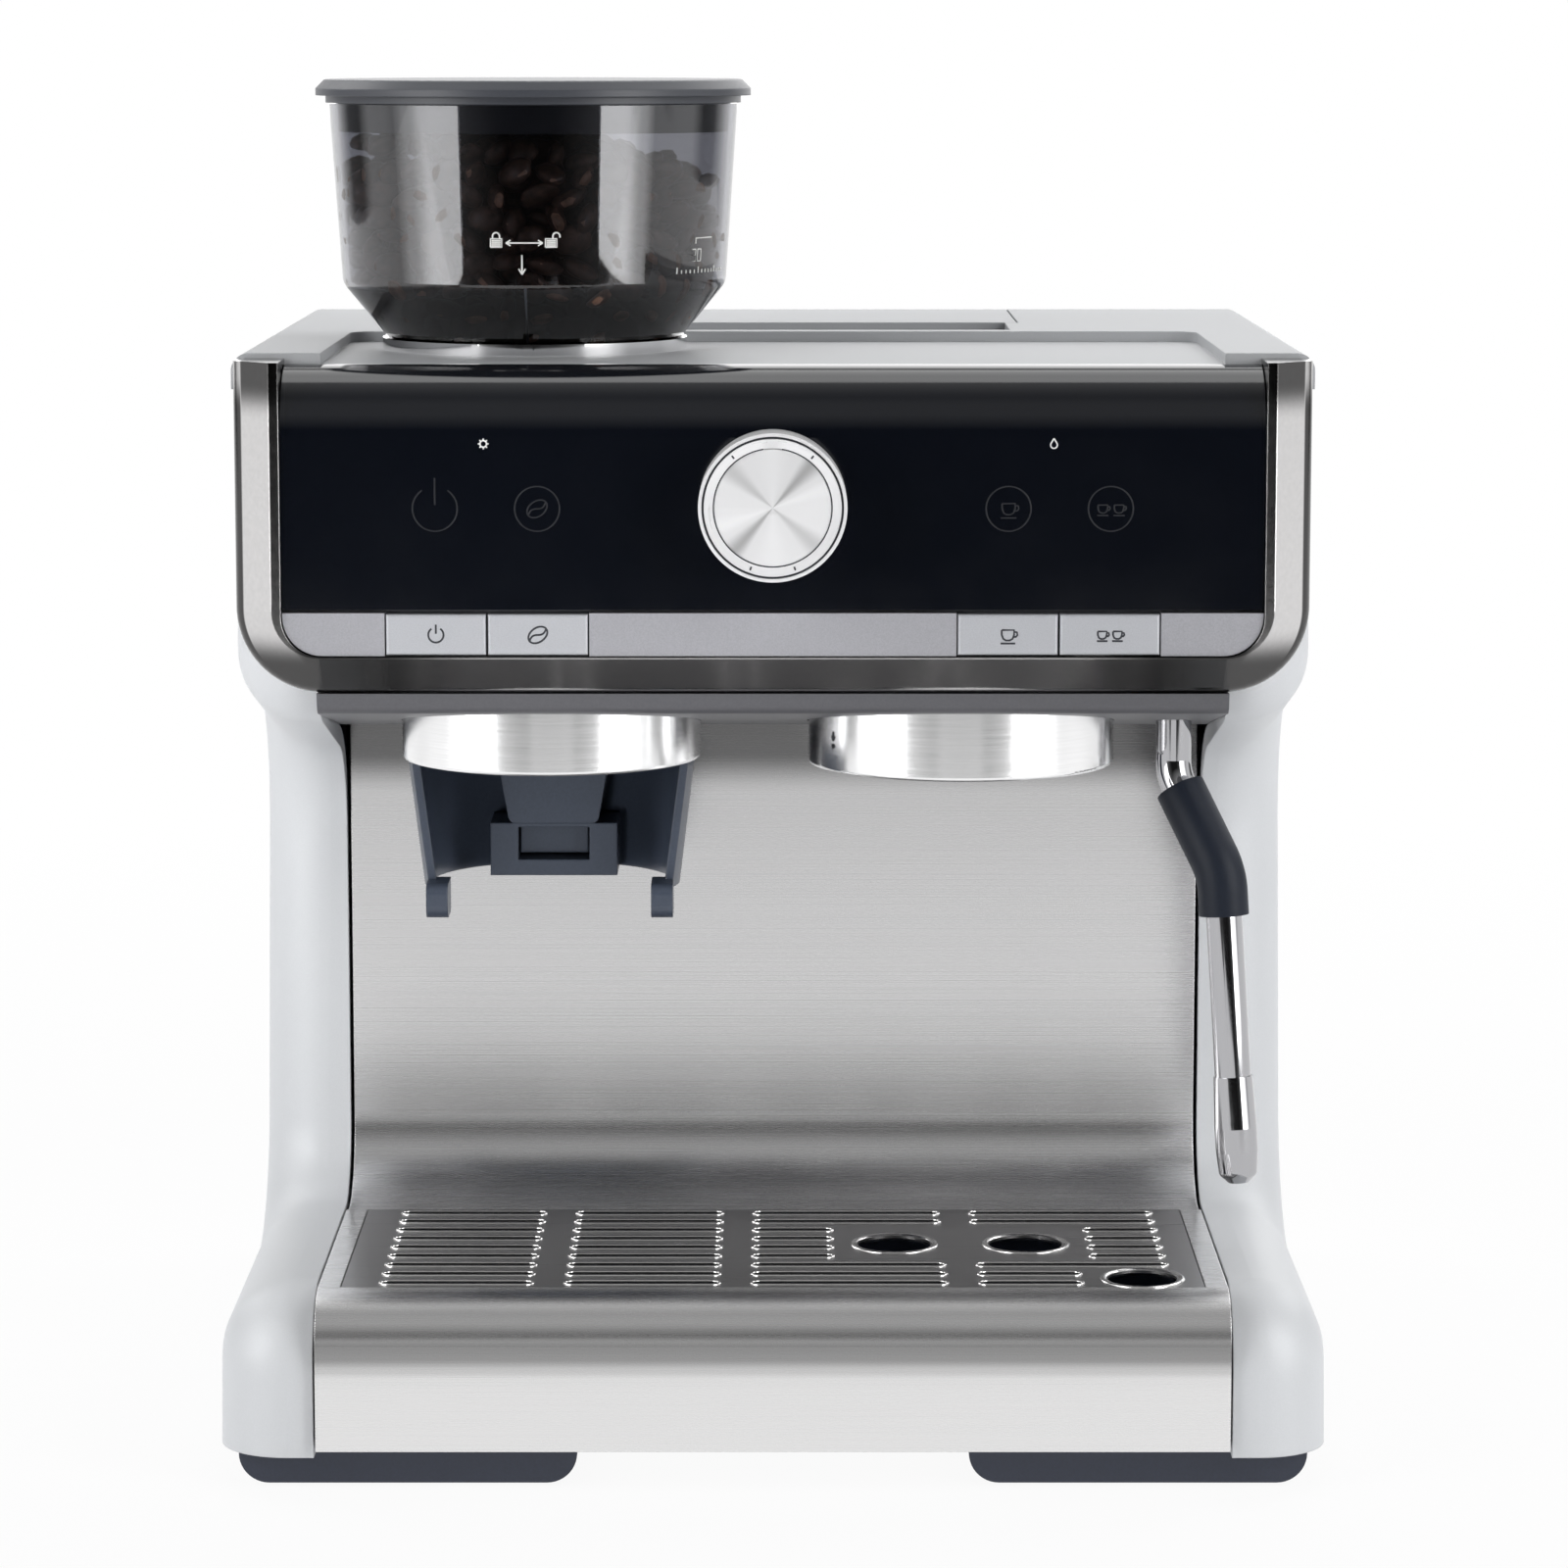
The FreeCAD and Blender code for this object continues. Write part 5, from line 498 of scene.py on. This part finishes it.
# painted reflection on the knob's disc: pale and dark wedges by turn
discReflectionWedges = {
    "centre": (0.0, 0.276), "blue": 1.01,
    "wedges": [(0.02, 0.94), (0.055, 1.0), (0.09, 0.88), (0.135, 0.46), (0.17, 0.86),
               (0.25, 0.93), (0.34, 0.88), (0.385, 0.66), (0.43, 0.92)],
}
smokeTones = {"limits": (0.326, 0.334), "dark": (0.10, 0.10, 0.11)}

for steel, direction in smearDirections.items():
    smearedAlong(steel, direction)
for steel, stops in steelPaintedShade.items():
    paintedShadeByHeight(steel, stops)
paintFrameReflections("frameSteelPaintedReflection", frameReflectionMasks)
paintFanReflection("spunDiscPaintedReflection", discReflectionWedges)
smearedAround("spunDiscPaintedReflection", "Y")
smokeByHeight("smokedPlastic", **smokeTones)

finishOfNode = {
    "satinSilver": ["side_panel_right", "side_panel_left"],
    "deckSilverPaintedShade": ["top_deck", "tank_lid"],
    "brushedSteelPaintedShade": ["backsplash"],
    "fasciaSteelPaintedReflection": ["tray_fascia"],
    "gridSteel": ["drip_grid"],
    "frameSteelPaintedReflection": ["front_bezel"],
    "turnedSteel": ["group_collar", "grinder_collar"],
    "knobSteel": ["control_knob"],
    "polishedChrome": ["hopper_ring", "shower_screw"],
    "wandChromePaintedShade": ["steam_wand", "wand_sleeve"],
    "spunDiscPaintedReflection": ["knob_cap"],
    "blackGloss": ["control_panel"],
    "stripMetal": ["button_strip"],
    "buttonMetal": ["button_power", "button_grind", "button_single", "button_double"],
    "darkPlastic": ["foot_left", "foot_right", "drip_tray"],
    "forkPlastic": ["grinder_cradle", "grind_trigger"],
    "lidPlastic": ["hopper_lid"],
    "softRubber": ["foot_pads", "wand_grip", "group_gasket", "pump_mounts", "cord_gland"],
    "greyPlastic": ["panel_carrier", "pump", "burr_housing", "burr_carrier", "grind_chute", "rotary_switch",
                    "rear_cover", "tank_bay"],
    "chinPlastic": ["head_floor"],
    "smokedPlastic": ["bean_hopper"],
    "clearPlastic": ["water_tank"],
    "plainSteel": ["chassis", "case_screws", "knob_spindle", "grinder_shaft", "upper_burr", "lower_burr",
                   "shower_screen"],
    "castMetal": ["group_head", "boiler", "grinder_motor"],
    "boardGreen": ["control_board", "main_board"],
    "valveBrass": ["solenoid_valve", "tank_valve"],
    "paleTube": ["water_hoses", "steam_pipe"],
}
for finish, names in finishOfNode.items():
    for name in names:
        slots = nodes[name].data.materials
        slots.clear()
        slots.append(finishes[finish])
print("finishes on", sum(len(names) for names in finishOfNode.values()), "pieces")


# Making pieces
def addPiece(name, mesh, finish, body):
    mesh.materials.clear()
    mesh.materials.append(finishes[finish])
    mesh.polygons.foreach_set("use_smooth", [True] * len(mesh.polygons))
    piece = bpy.data.objects.new(name, mesh)
    bpy.context.scene.collection.objects.link(piece)
    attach(piece, body)


def curveMesh(name, strokes, radius, sides=1, closed=False):
    # round beads along strokes of points in metres
    curve = bpy.data.curves.new(name, "CURVE")
    curve.dimensions = "3D"
    curve.bevel_depth = radius
    curve.bevel_resolution = sides
    curve.use_fill_caps = True
    for points in strokes:
        spline = curve.splines.new("POLY")
        spline.points.add(len(points) - 1)
        for point, place in zip(spline.points, points):
            point.co = (*place, 1)
        spline.use_cyclic_u = closed
    holder = bpy.data.objects.new(name, curve)
    bpy.context.scene.collection.objects.link(holder)
    mesh = bpy.data.meshes.new_from_object(holder)
    bpy.data.objects.remove(holder)
    bpy.data.curves.remove(curve)
    return mesh


def around(axis, radius, turn, z):
    # a point in metres at a turn about an upright axis; the turn starts at the front
    return ((axis[0] + radius * math.sin(turn)) * mm, (axis[1] - radius * math.cos(turn)) * mm, z * mm)


def latheMesh(name, profile, axis, steps):
    # a closed profile of radius and height pairs, turned about an upright axis
    work = bmesh.new()
    rings = []
    for radius, z in profile:
        rings.append([work.verts.new(around(axis, radius, 2 * math.pi * i / steps, z)) for i in range(steps)])
    for first, second in zip(rings, rings[1:] + rings[:1]):
        for i in range(steps):
            j = (i + 1) % steps
            work.faces.new((first[i], first[j], second[j], second[i]))
    bmesh.ops.recalc_face_normals(work, faces=work.faces)
    mesh = bpy.data.meshes.new(name)
    work.to_mesh(mesh)
    work.free()
    return mesh


def turns(steps, start=0, end=360):
    return [math.radians(start + (end - start) * i / steps) for i in range(steps + 1)]


def arc(x, z, radius, start=0, end=360, steps=24):
    return [(x + radius * math.cos(t), z + radius * math.sin(t)) for t in turns(steps, start, end)]


# Pictograms, drawn in millimetres about their own middle
powerRing = 0.62  # of the size of the sign
barbShare = 0.6  # half the width of an arrow head, of its length
signDepth = 0.25  # of the depth of a round bead


def powerSign(size):
    return [arc(0, 0, powerRing * size, 125, 415), [(0, 0.1 * size), (0, 0.85 * size)]]


def beanSign(size):
    oval = [(0.85 * math.cos(t), 0.58 * math.sin(t)) for t in turns(28)]
    crease = [(0.8 * (t / math.pi - 1), 0.16 * math.sin(t)) for t in turns(14)]
    tilt = math.radians(35)
    along, up = size * math.cos(tilt), size * math.sin(tilt)
    return [[(x * along - z * up, x * up + z * along) for x, z in line] for line in (oval, crease)]


def cupSign(size, x=0.0):
    bowl = [(-0.5, 0.4), (-0.5, 0.0), (-0.38, -0.32), (-0.15, -0.45), (0.15, -0.45),
            (0.38, -0.32), (0.5, 0.0), (0.5, 0.4), (-0.5, 0.4)]
    handle = [(0.5, 0.25), (0.74, 0.22), (0.78, 0.0), (0.66, -0.16), (0.46, -0.16)]
    saucer = [(-0.6, -0.7), (0.6, -0.7)]
    return [[(x + size * a, size * b) for a, b in line] for line in (bowl, handle, saucer)]


def twoCupSign(size):
    small, apart = 0.72 * size, 0.62 * size
    return cupSign(small, -apart) + cupSign(small, apart)


def dropSign(size):
    tip = (0, size)
    return [[tip, *arc(0, -0.2 * size, 0.62 * size, 35, -215), tip]]


def burrSign(size):
    inner = 0.6 * size
    teeth = []
    for t in turns(7, 0, 315):
        teeth.append([(reach * math.cos(t), reach * math.sin(t)) for reach in (inner, size)])
    return [arc(0, 0, inner), *teeth]


def arrowSign(start, end, head):
    (x0, z0), (x1, z1) = start, end
    run = math.hypot(x1 - x0, z1 - z0)
    back, rise = head * (x1 - x0) / run, head * (z1 - z0) / run
    barbs = [[(x1 - back - side * rise, z1 - rise + side * back), end] for side in (-barbShare, barbShare)]
    return [[start, end], *barbs]


def flatSign(name, strokes, place, width, finish, body):
    # a sign on an upright face across Y, pressed flat
    x, y, z = place
    lines = [[((x + a) * mm, y * mm, (z + b) * mm) for a, b in line] for line in strokes]
    mesh = curveMesh(name, lines, width / 2 * mm, 2)
    for v in mesh.vertices:
        v.co.y = y * mm + (v.co.y - y * mm) * signDepth
    addPiece(name, mesh, finish, body)


signShapes = {
    "Power": powerSign, "Bean": beanSign, "Cup": cupSign, "TwoCups": twoCupSign,
    "Burr": burrSign, "Drop": dropSign,
}
panelSigns = {
    "face": -131.0, "level": 274.4, "ring": 6.2, "ringSteps": 40, "size": 3.6, "width": 0.42,
    "places": {"Power": -93.2, "Bean": -65.0, "Cup": 65.0, "TwoCups": 93.2},
}
buttonSigns = {
    "face": -131.5, "level": 239.45, "size": 3.4, "width": 0.55,
    "bodies": {"Power": "power_button", "Bean": "grind_button",
               "Cup": "single_button", "TwoCups": "double_button"},
}
smallMarks = {
    "face": -131.0, "level": 292.3, "size": 1.5, "width": 0.4, "places": {"Burr": -79.7, "Drop": 77.4},
}


def makeSigns():
    s = panelSigns
    for kind, x in s["places"].items():
        strokes = [arc(0, 0, s["ring"], steps=s["ringSteps"])] + signShapes[kind](s["size"])
        if kind == "Power":  # its own ring is the outer one
            strokes = powerSign(s["ring"] / powerRing)
        flatSign(f"panelSign{kind}", strokes, (x, s["face"], s["level"]), s["width"], "faintInk", "machine")
    b = buttonSigns
    for kind, body in b["bodies"].items():
        place = (s["places"][kind], b["face"], b["level"])
        flatSign(f"buttonSign{kind}", signShapes[kind](b["size"]), place, b["width"], "darkInkAndShade", body)
    m = smallMarks
    for kind, x in m["places"].items():
        place = (x, m["face"], m["level"])
        flatSign(f"panelMark{kind}", signShapes[kind](m["size"]), place, m["width"], "paleInk", "machine")


makeSigns()
print("signs drawn")

# Drip grid: a bright rolled lip round every slot and a dished rim round each round hole
gridLips = {
    "top": 57.0, "backRow": -48.3, "pitch": 11.0, "rows": 9,
    "half": 2.2, "lip": 0.5, "lipShare": 0.6, "endSteps": 8,
    "columns": [(-110.0, -67.75), (-58.25, -15.25), (-5.75, 48.75), (58.25, 112.0)],
    "drainRows": (2, 3, 4, 5),
    "drainColumns": [(-110.0, -67.75), (-58.25, -15.25), (-5.75, 17.0), (91.0, 112.0)],
    "floatRows": (7, 8),
    "floatColumns": [(-110.0, -67.75), (-58.25, -15.25), (-5.75, 48.75), (58.25, 86.8)],
    "holes": [(35.0, -88.0, 10.6), (73.0, -88.0, 10.6), (104.0, -130.7, 9.8)], "rimSteps": 48,
    "rim": [(-0.3, -1.3), (0.2, -0.2), (1.0, 0.45), (1.7, 0.55),
            (2.2, 0.15), (2.2, -0.1), (1.0, -0.1), (0.0, -1.2)],
}


def slotColumns(row):
    # slots are shorter in the rows that meet a round hole
    g = gridLips
    if row in g["drainRows"]:
        return g["drainColumns"]
    return g["floatColumns"] if row in g["floatRows"] else g["columns"]


def makeGridLips():
    g = gridLips
    half, top, steps = g["half"], g["top"], g["endSteps"]
    reach = half + g["lip"] * g["lipShare"]
    loops = []
    for row in range(g["rows"]):
        y = g["backRow"] - g["pitch"] * row
        for left, right in slotColumns(row):
            loop = arc(right - half, y, reach, -90, 90, steps) + arc(left + half, y, reach, 90, 270, steps)
            loops.append([(a * mm, b * mm, top * mm) for a, b in loop])
    mesh = curveMesh("gridSlotLips", loops, g["lip"] * mm, closed=True)
    addPiece("gridSlotLips", mesh, "lipSteel", "grid")
    for i, (x, y, radius) in enumerate(g["holes"]):
        name = f"gridHoleRim{i + 1}"
        profile = [(radius + outward, top + upward) for outward, upward in g["rim"]]
        addPiece(name, latheMesh(name, profile, (x, y), g["rimSteps"]), "lipSteel", "grid")


makeGridLips()
print("grid lips laid")

# Knob: ticks on the sloped ring, painted shade as a dark line in its groove, and a fine line of painted shade
# round the cap with a gap at the pointer
knobMarksAndShade = {
    "centre": (0.0, 276.0), "face": -146.45, "groove": 19.15, "grooveSteps": 96, "grooveShadeWidth": 0.5,
    "seam": 16.2, "seamSteps": 90, "seamShadeWidth": 0.34, "gap": 9,
    "tickFace": -146.72, "ticks": (52, 128, 250, 290), "tickEnds": (17.1, 18.2), "tickLine": 0.5,
}


def makeKnobMarksAndShade():
    k = knobMarksAndShade
    x, z = k["centre"]
    place = (x, k["face"], z)
    # painted shade: a dark line in the groove and a finer one in the seam round the cap
    groove = arc(0, 0, k["groove"], steps=k["grooveSteps"])
    flatSign("knobGroovePaintedShade", [groove], place, k["grooveShadeWidth"], "darkInkAndShade", "knob")
    seam = arc(0, 0, k["seam"], 90 + k["gap"], 450 - k["gap"], k["seamSteps"])
    flatSign("knobSeamPaintedShade", [seam], place, k["seamShadeWidth"], "darkInkAndShade", "knob")
    ticks = []
    for turn in k["ticks"]:
        t = math.radians(turn)
        ticks.append([(r * math.cos(t), r * math.sin(t)) for r in k["tickEnds"]])
    flatSign("knobTicks", ticks, (x, k["tickFace"], z), k["tickLine"], "darkInkAndShade", "knob")


makeKnobMarksAndShade()
print("knob marked")

# Coffee in the hopper: beans packed against the wall and heaped on top, over a heap of the same colour
beanForm = {
    "half": (5.6, 4.3, 3.1), "rows": 6, "steps": 10,
    "blunt": 0.8, "belly": 0.62, "crease": 1.3, "creaseWidth": 0.9,
}
coffee = {
    "axis": (-70.0, -30.0), "seed": 11,
    "foot": (317.0, 39.6), "shoulder": (332.7, 54.0), "rim": (384.0, 57.5),
    "top": 374.0, "fall": -0.11, "round": 0.0034, "roundDepth": 0.6, "ripple": 1.5, "waves": (0.11, 0.13),
    "wallFoot": 320.0, "wallSpare": 8.0, "wallStep": 6.4, "wallPitch": 9.6, "wallDepths": (4.4, 11.5),
    "wallShift": 0.18, "wallLift": 1.2, "wallCover": 2.0,
    "heapCount": 6, "heapPitch": (8.2, 7.4), "heapOffset": 4.1, "heapShift": 1.3, "heapReach": 50.5,
    "heapLift": (-1.0, 1.4), "turn": 6.28, "tilt": 0.6, "sizes": (0.88, 1.06),
    "coreLevels": (319.0, 326.0, 333.0, 345.0, 357.0, 364.0), "coreDepth": 13.0,
    "coreTop": 366.0, "coreBore": 0.5, "coreSteps": 40,
}


def radiusAt(z, low, high):
    # on the line between two pairs of height and radius
    return low[1] + (z - low[0]) * (high[1] - low[1]) / (high[0] - low[0])


def innerRadius(z):
    # a cone up to the shoulder of the tub, then nearly upright
    c = coffee
    if z < c["shoulder"][0]:
        return radiusAt(z, c["foot"], c["shoulder"])
    return radiusAt(z, c["shoulder"], c["rim"])


def heapLevel(x, y):
    c = coffee
    ripple = c["ripple"] * math.sin(c["waves"][0] * x + 1) * math.cos(c["waves"][1] * y)
    return c["top"] + c["fall"] * x - c["round"] * (x * x + c["roundDepth"] * y * y) + ripple


def beanShape():
    # a domed back, a flatter belly and a crease along it
    form = beanForm
    long, wide, deep = form["half"]
    rows, steps = form["rows"], form["steps"]
    points, faces = [(-long, 0, 0)], []
    for r in range(1, rows):
        t = math.pi * r / rows
        x, ring = -math.cos(t) * long, math.sin(t) ** form["blunt"]
        for i in range(steps):
            a = 2 * math.pi * i / steps
            y, z = wide * ring * math.cos(a), deep * ring * math.sin(a)
            if z < 0:
                z *= form["belly"]
                z += form["crease"] * math.exp(-(y / form["creaseWidth"]) ** 2) * ring
            points.append((x, y, z))
    points.append((long, 0, 0))
    last = len(points) - 1
    for i in range(steps):
        j = (i + 1) % steps
        faces.append((0, 1 + j, 1 + i))
        faces.append((last, last - steps + i, last - steps + j))
        for r in range(rows - 2):
            a, b = 1 + r * steps, 1 + (r + 1) * steps
            faces.append((a + i, a + j, b + j, b + i))
    return [Vector(p) for p in points], faces


def wallBeans(rng):
    # two rings of beans in every layer, as far up as the heap covers them
    c = coffee
    places = []
    layer = 0
    z = c["wallFoot"]
    while z < c["top"] + c["wallSpare"]:
        for depth in c["wallDepths"]:
            radius = innerRadius(z) - depth
            count = int(2 * math.pi * radius / c["wallPitch"])
            for i in range(count):
                shift = rng.uniform(-c["wallShift"], c["wallShift"])
                t = 2 * math.pi * (i + 0.5 * (layer % 2) + shift) / count
                x, y = radius * math.cos(t), radius * math.sin(t)
                level = z + rng.uniform(-c["wallLift"], c["wallLift"])
                if level < heapLevel(x, y) - c["wallCover"]:
                    places.append((x, y, level))
        z += c["wallStep"]
        layer += 1
    return places


def heapBeans(rng):
    # staggered rows over the top of the heap
    c = coffee
    places = []
    pitchX, pitchY = c["heapPitch"]
    shift = c["heapShift"]
    spots = range(-c["heapCount"], c["heapCount"] + 1)
    for i in spots:
        for j in spots:
            x = i * pitchX + (j % 2) * c["heapOffset"] + rng.uniform(-shift, shift)
            y = j * pitchY + rng.uniform(-shift, shift)
            if math.hypot(x, y) < c["heapReach"]:
                places.append((x, y, heapLevel(x, y) + rng.uniform(*c["heapLift"])))
    return places


def makeCoffee():
    c = coffee
    rng = random.Random(c["seed"])
    points, faces = beanShape()
    verts, polygons = [], []
    ax, ay = c["axis"]
    for x, y, z in wallBeans(rng) + heapBeans(rng):
        angles = (rng.uniform(0, c["turn"]), rng.uniform(-c["tilt"], c["tilt"]), rng.uniform(0, c["turn"]))
        rotation = Euler(angles).to_matrix()
        size = rng.uniform(*c["sizes"])
        base = len(verts)
        for p in points:
            q = rotation @ p * size
            verts.append(((ax + x + q.x) * mm, (ay + y + q.y) * mm, (z + q.z) * mm))
        polygons += [tuple(base + v for v in face) for face in faces]
    mesh = bpy.data.meshes.new("coffeeBeans")
    mesh.from_pydata(verts, [], polygons)
    addPiece("coffeeBeans", mesh, "roastBean", "hopper")
    core = [(innerRadius(z) - c["coreDepth"], z) for z in c["coreLevels"]]
    core = [(c["coreBore"], c["coreLevels"][0])] + core + [(c["coreBore"], c["coreTop"])]
    addPiece("coffeeHeap", latheMesh("coffeeHeap", core, c["axis"], c["coreSteps"]), "roastBean", "hopper")
    return len(verts)


print("beans", makeCoffee(), "points")

# Hopper marks, wrapped on the tub: a lock and an open lock with arrows, an arrow down, the grind scale
hopperMarks = {
    "axis": (-70.0, -30.0), "wallFoot": (332.0, 56.0), "wallTop": (384.0, 59.5), "proud": 0.05,
    "lockLevel": 346.2, "lock": -8.2, "openLock": 7.4, "line": 0.5,
    "arrowStart": (0, -0.6), "arrowEnds": [(-5.4, -0.6), (5.0, -0.6)], "arrowHead": 1.3,
    "downLevel": 339.6, "down": [(-0.9, 2.6), (-0.9, -2.9)], "downHead": 1.6,
    "scaleTurn": 60.0, "scaleLevel": 336.0, "scaleStart": -11.0, "scalePitch": 2.0, "scaleTicks": 14,
    "longEvery": 5, "longTick": 1.8, "shortTick": 1.0, "scaleLine": 0.44,
    "scaleFigures": [
        [(-3.0, 10.0), (6.0, 10.0)], [(-3.0, 10.0), (-3.0, 8.4)],
        [(-4.6, 6.8), (-2.8, 6.8), (-2.8, 5.1), (-4.0, 5.1), (-2.8, 5.1), (-2.8, 3.4), (-4.6, 3.4)],
        [(-1.8, 6.8), (0.0, 6.8), (0.0, 3.4), (-1.8, 3.4), (-1.8, 6.8)]],
}
hopperRib = {"ends": [(56.25, 332.6), (42.6, 316.6)], "radius": 0.4}


def wrapped(strokes, turn, level):
    # strokes in millimetres along the wall of the tub and up it
    h = hopperMarks
    lines = []
    for stroke in strokes:
        points = []
        for a, b in stroke:
            radius = radiusAt(level + b, h["wallFoot"], h["wallTop"]) + h["proud"]
            points.append(around(h["axis"], radius, math.radians(turn) + a / radius, level + b))
        lines.append(points)
    return lines


def lockSign(x, lifted):
    # a filled body and a bow, which stands aside with one end free when the lock is open
    body = [(x - 1.6, -1.8), (x + 1.6, -1.8), (x + 1.6, 0.6), (x - 1.6, 0.6), (x - 1.6, -1.8)]
    fill = [[(x - 1.3, -1.4 + 0.5 * i), (x + 1.3, -1.4 + 0.5 * i)] for i in range(4)]
    middle, end = (x + 1.5, 0.9) if lifted else (x, 0.6)
    bow = [(middle - 1.0, 0.6), *arc(middle, 1.3, 1.0, 180, 0, 10), (middle + 1.0, end)]
    return [body, *fill, bow]


def makeHopperMarks():
    h = hopperMarks
    locks = lockSign(h["lock"], False) + lockSign(h["openLock"], True)
    for end in h["arrowEnds"]:
        locks += arrowSign(h["arrowStart"], end, h["arrowHead"])
    strokes = wrapped(locks, 0, h["lockLevel"])
    strokes += wrapped(arrowSign(*h["down"], h["downHead"]), 0, h["downLevel"])
    mesh = curveMesh("hopperLockMarks", strokes, h["line"] / 2 * mm)
    addPiece("hopperLockMarks", mesh, "paleInk", "hopper")
    scale = []
    for i in range(h["scaleTicks"]):
        x = h["scaleStart"] + h["scalePitch"] * i
        scale.append([(x, 0.0), (x, h["shortTick"] if i % h["longEvery"] else h["longTick"])])
    strokes = wrapped(scale + h["scaleFigures"], h["scaleTurn"], h["scaleLevel"])
    mesh = curveMesh("hopperScale", strokes, h["scaleLine"] / 2 * mm)
    addPiece("hopperScale", mesh, "paleInk", "hopper")


def makeHopperRib():
    # the seam down the front of the tub's foot
    line = [around(hopperMarks["axis"], radius, 0, z) for radius, z in hopperRib["ends"]]
    mesh = curveMesh("hopperRib", [line], hopperRib["radius"] * mm, 2)
    addPiece("hopperRib", mesh, "lidPlastic", "hopper")


makeHopperMarks()
makeHopperRib()
print("hopper marked")

# Lock-in mark on the group collar and water levels on the back of the tank
collarMark = {
    "axis": (54.0, -72.0), "radius": 44.0, "proud": 0.06, "turn": -57.0, "level": 203.6,
    "dot": 0.455, "dotSteps": 12, "arrow": [(0, 4.16), (0, 1.56)], "head": 1.3, "width": 0.55,
}
tankMarks = {
    "face": 153.7, "left": 52.0, "low": 66.0, "high": 262.0, "steps": 8,
    "short": 5.0, "long": 11.0, "width": 0.6,
}


def makeCollarMark():
    c = collarMark
    reach, turn = c["radius"] + c["proud"], math.radians(c["turn"])
    strokes = []
    for line in [arc(0, 0, c["dot"], steps=c["dotSteps"]), *arrowSign(*c["arrow"], c["head"])]:
        strokes.append([around(c["axis"], reach, turn + a / reach, c["level"] + b) for a, b in line])
    addPiece("collarMark", curveMesh("collarMark", strokes, c["width"] / 2 * mm), "darkInkAndShade", "machine")


def makeTankMarks():
    # level lines seen from behind: a long one at the top and at the foot, and short ones between
    k = tankMarks
    lines = []
    for i in range(k["steps"] + 1):
        z = k["low"] + (k["high"] - k["low"]) * i / k["steps"]
        long = k["long"] if i in (0, k["steps"]) else k["short"]
        lines.append([(k["left"] - long, z), (k["left"], z)])
    lines.append([(k["left"], k["low"]), (k["left"], k["high"])])
    flatSign("tankLevelMarks", lines, (0, k["face"], 0), k["width"], "paleInk", "tank")


makeCollarMark()
makeTankMarks()
print("collar and tank marked")
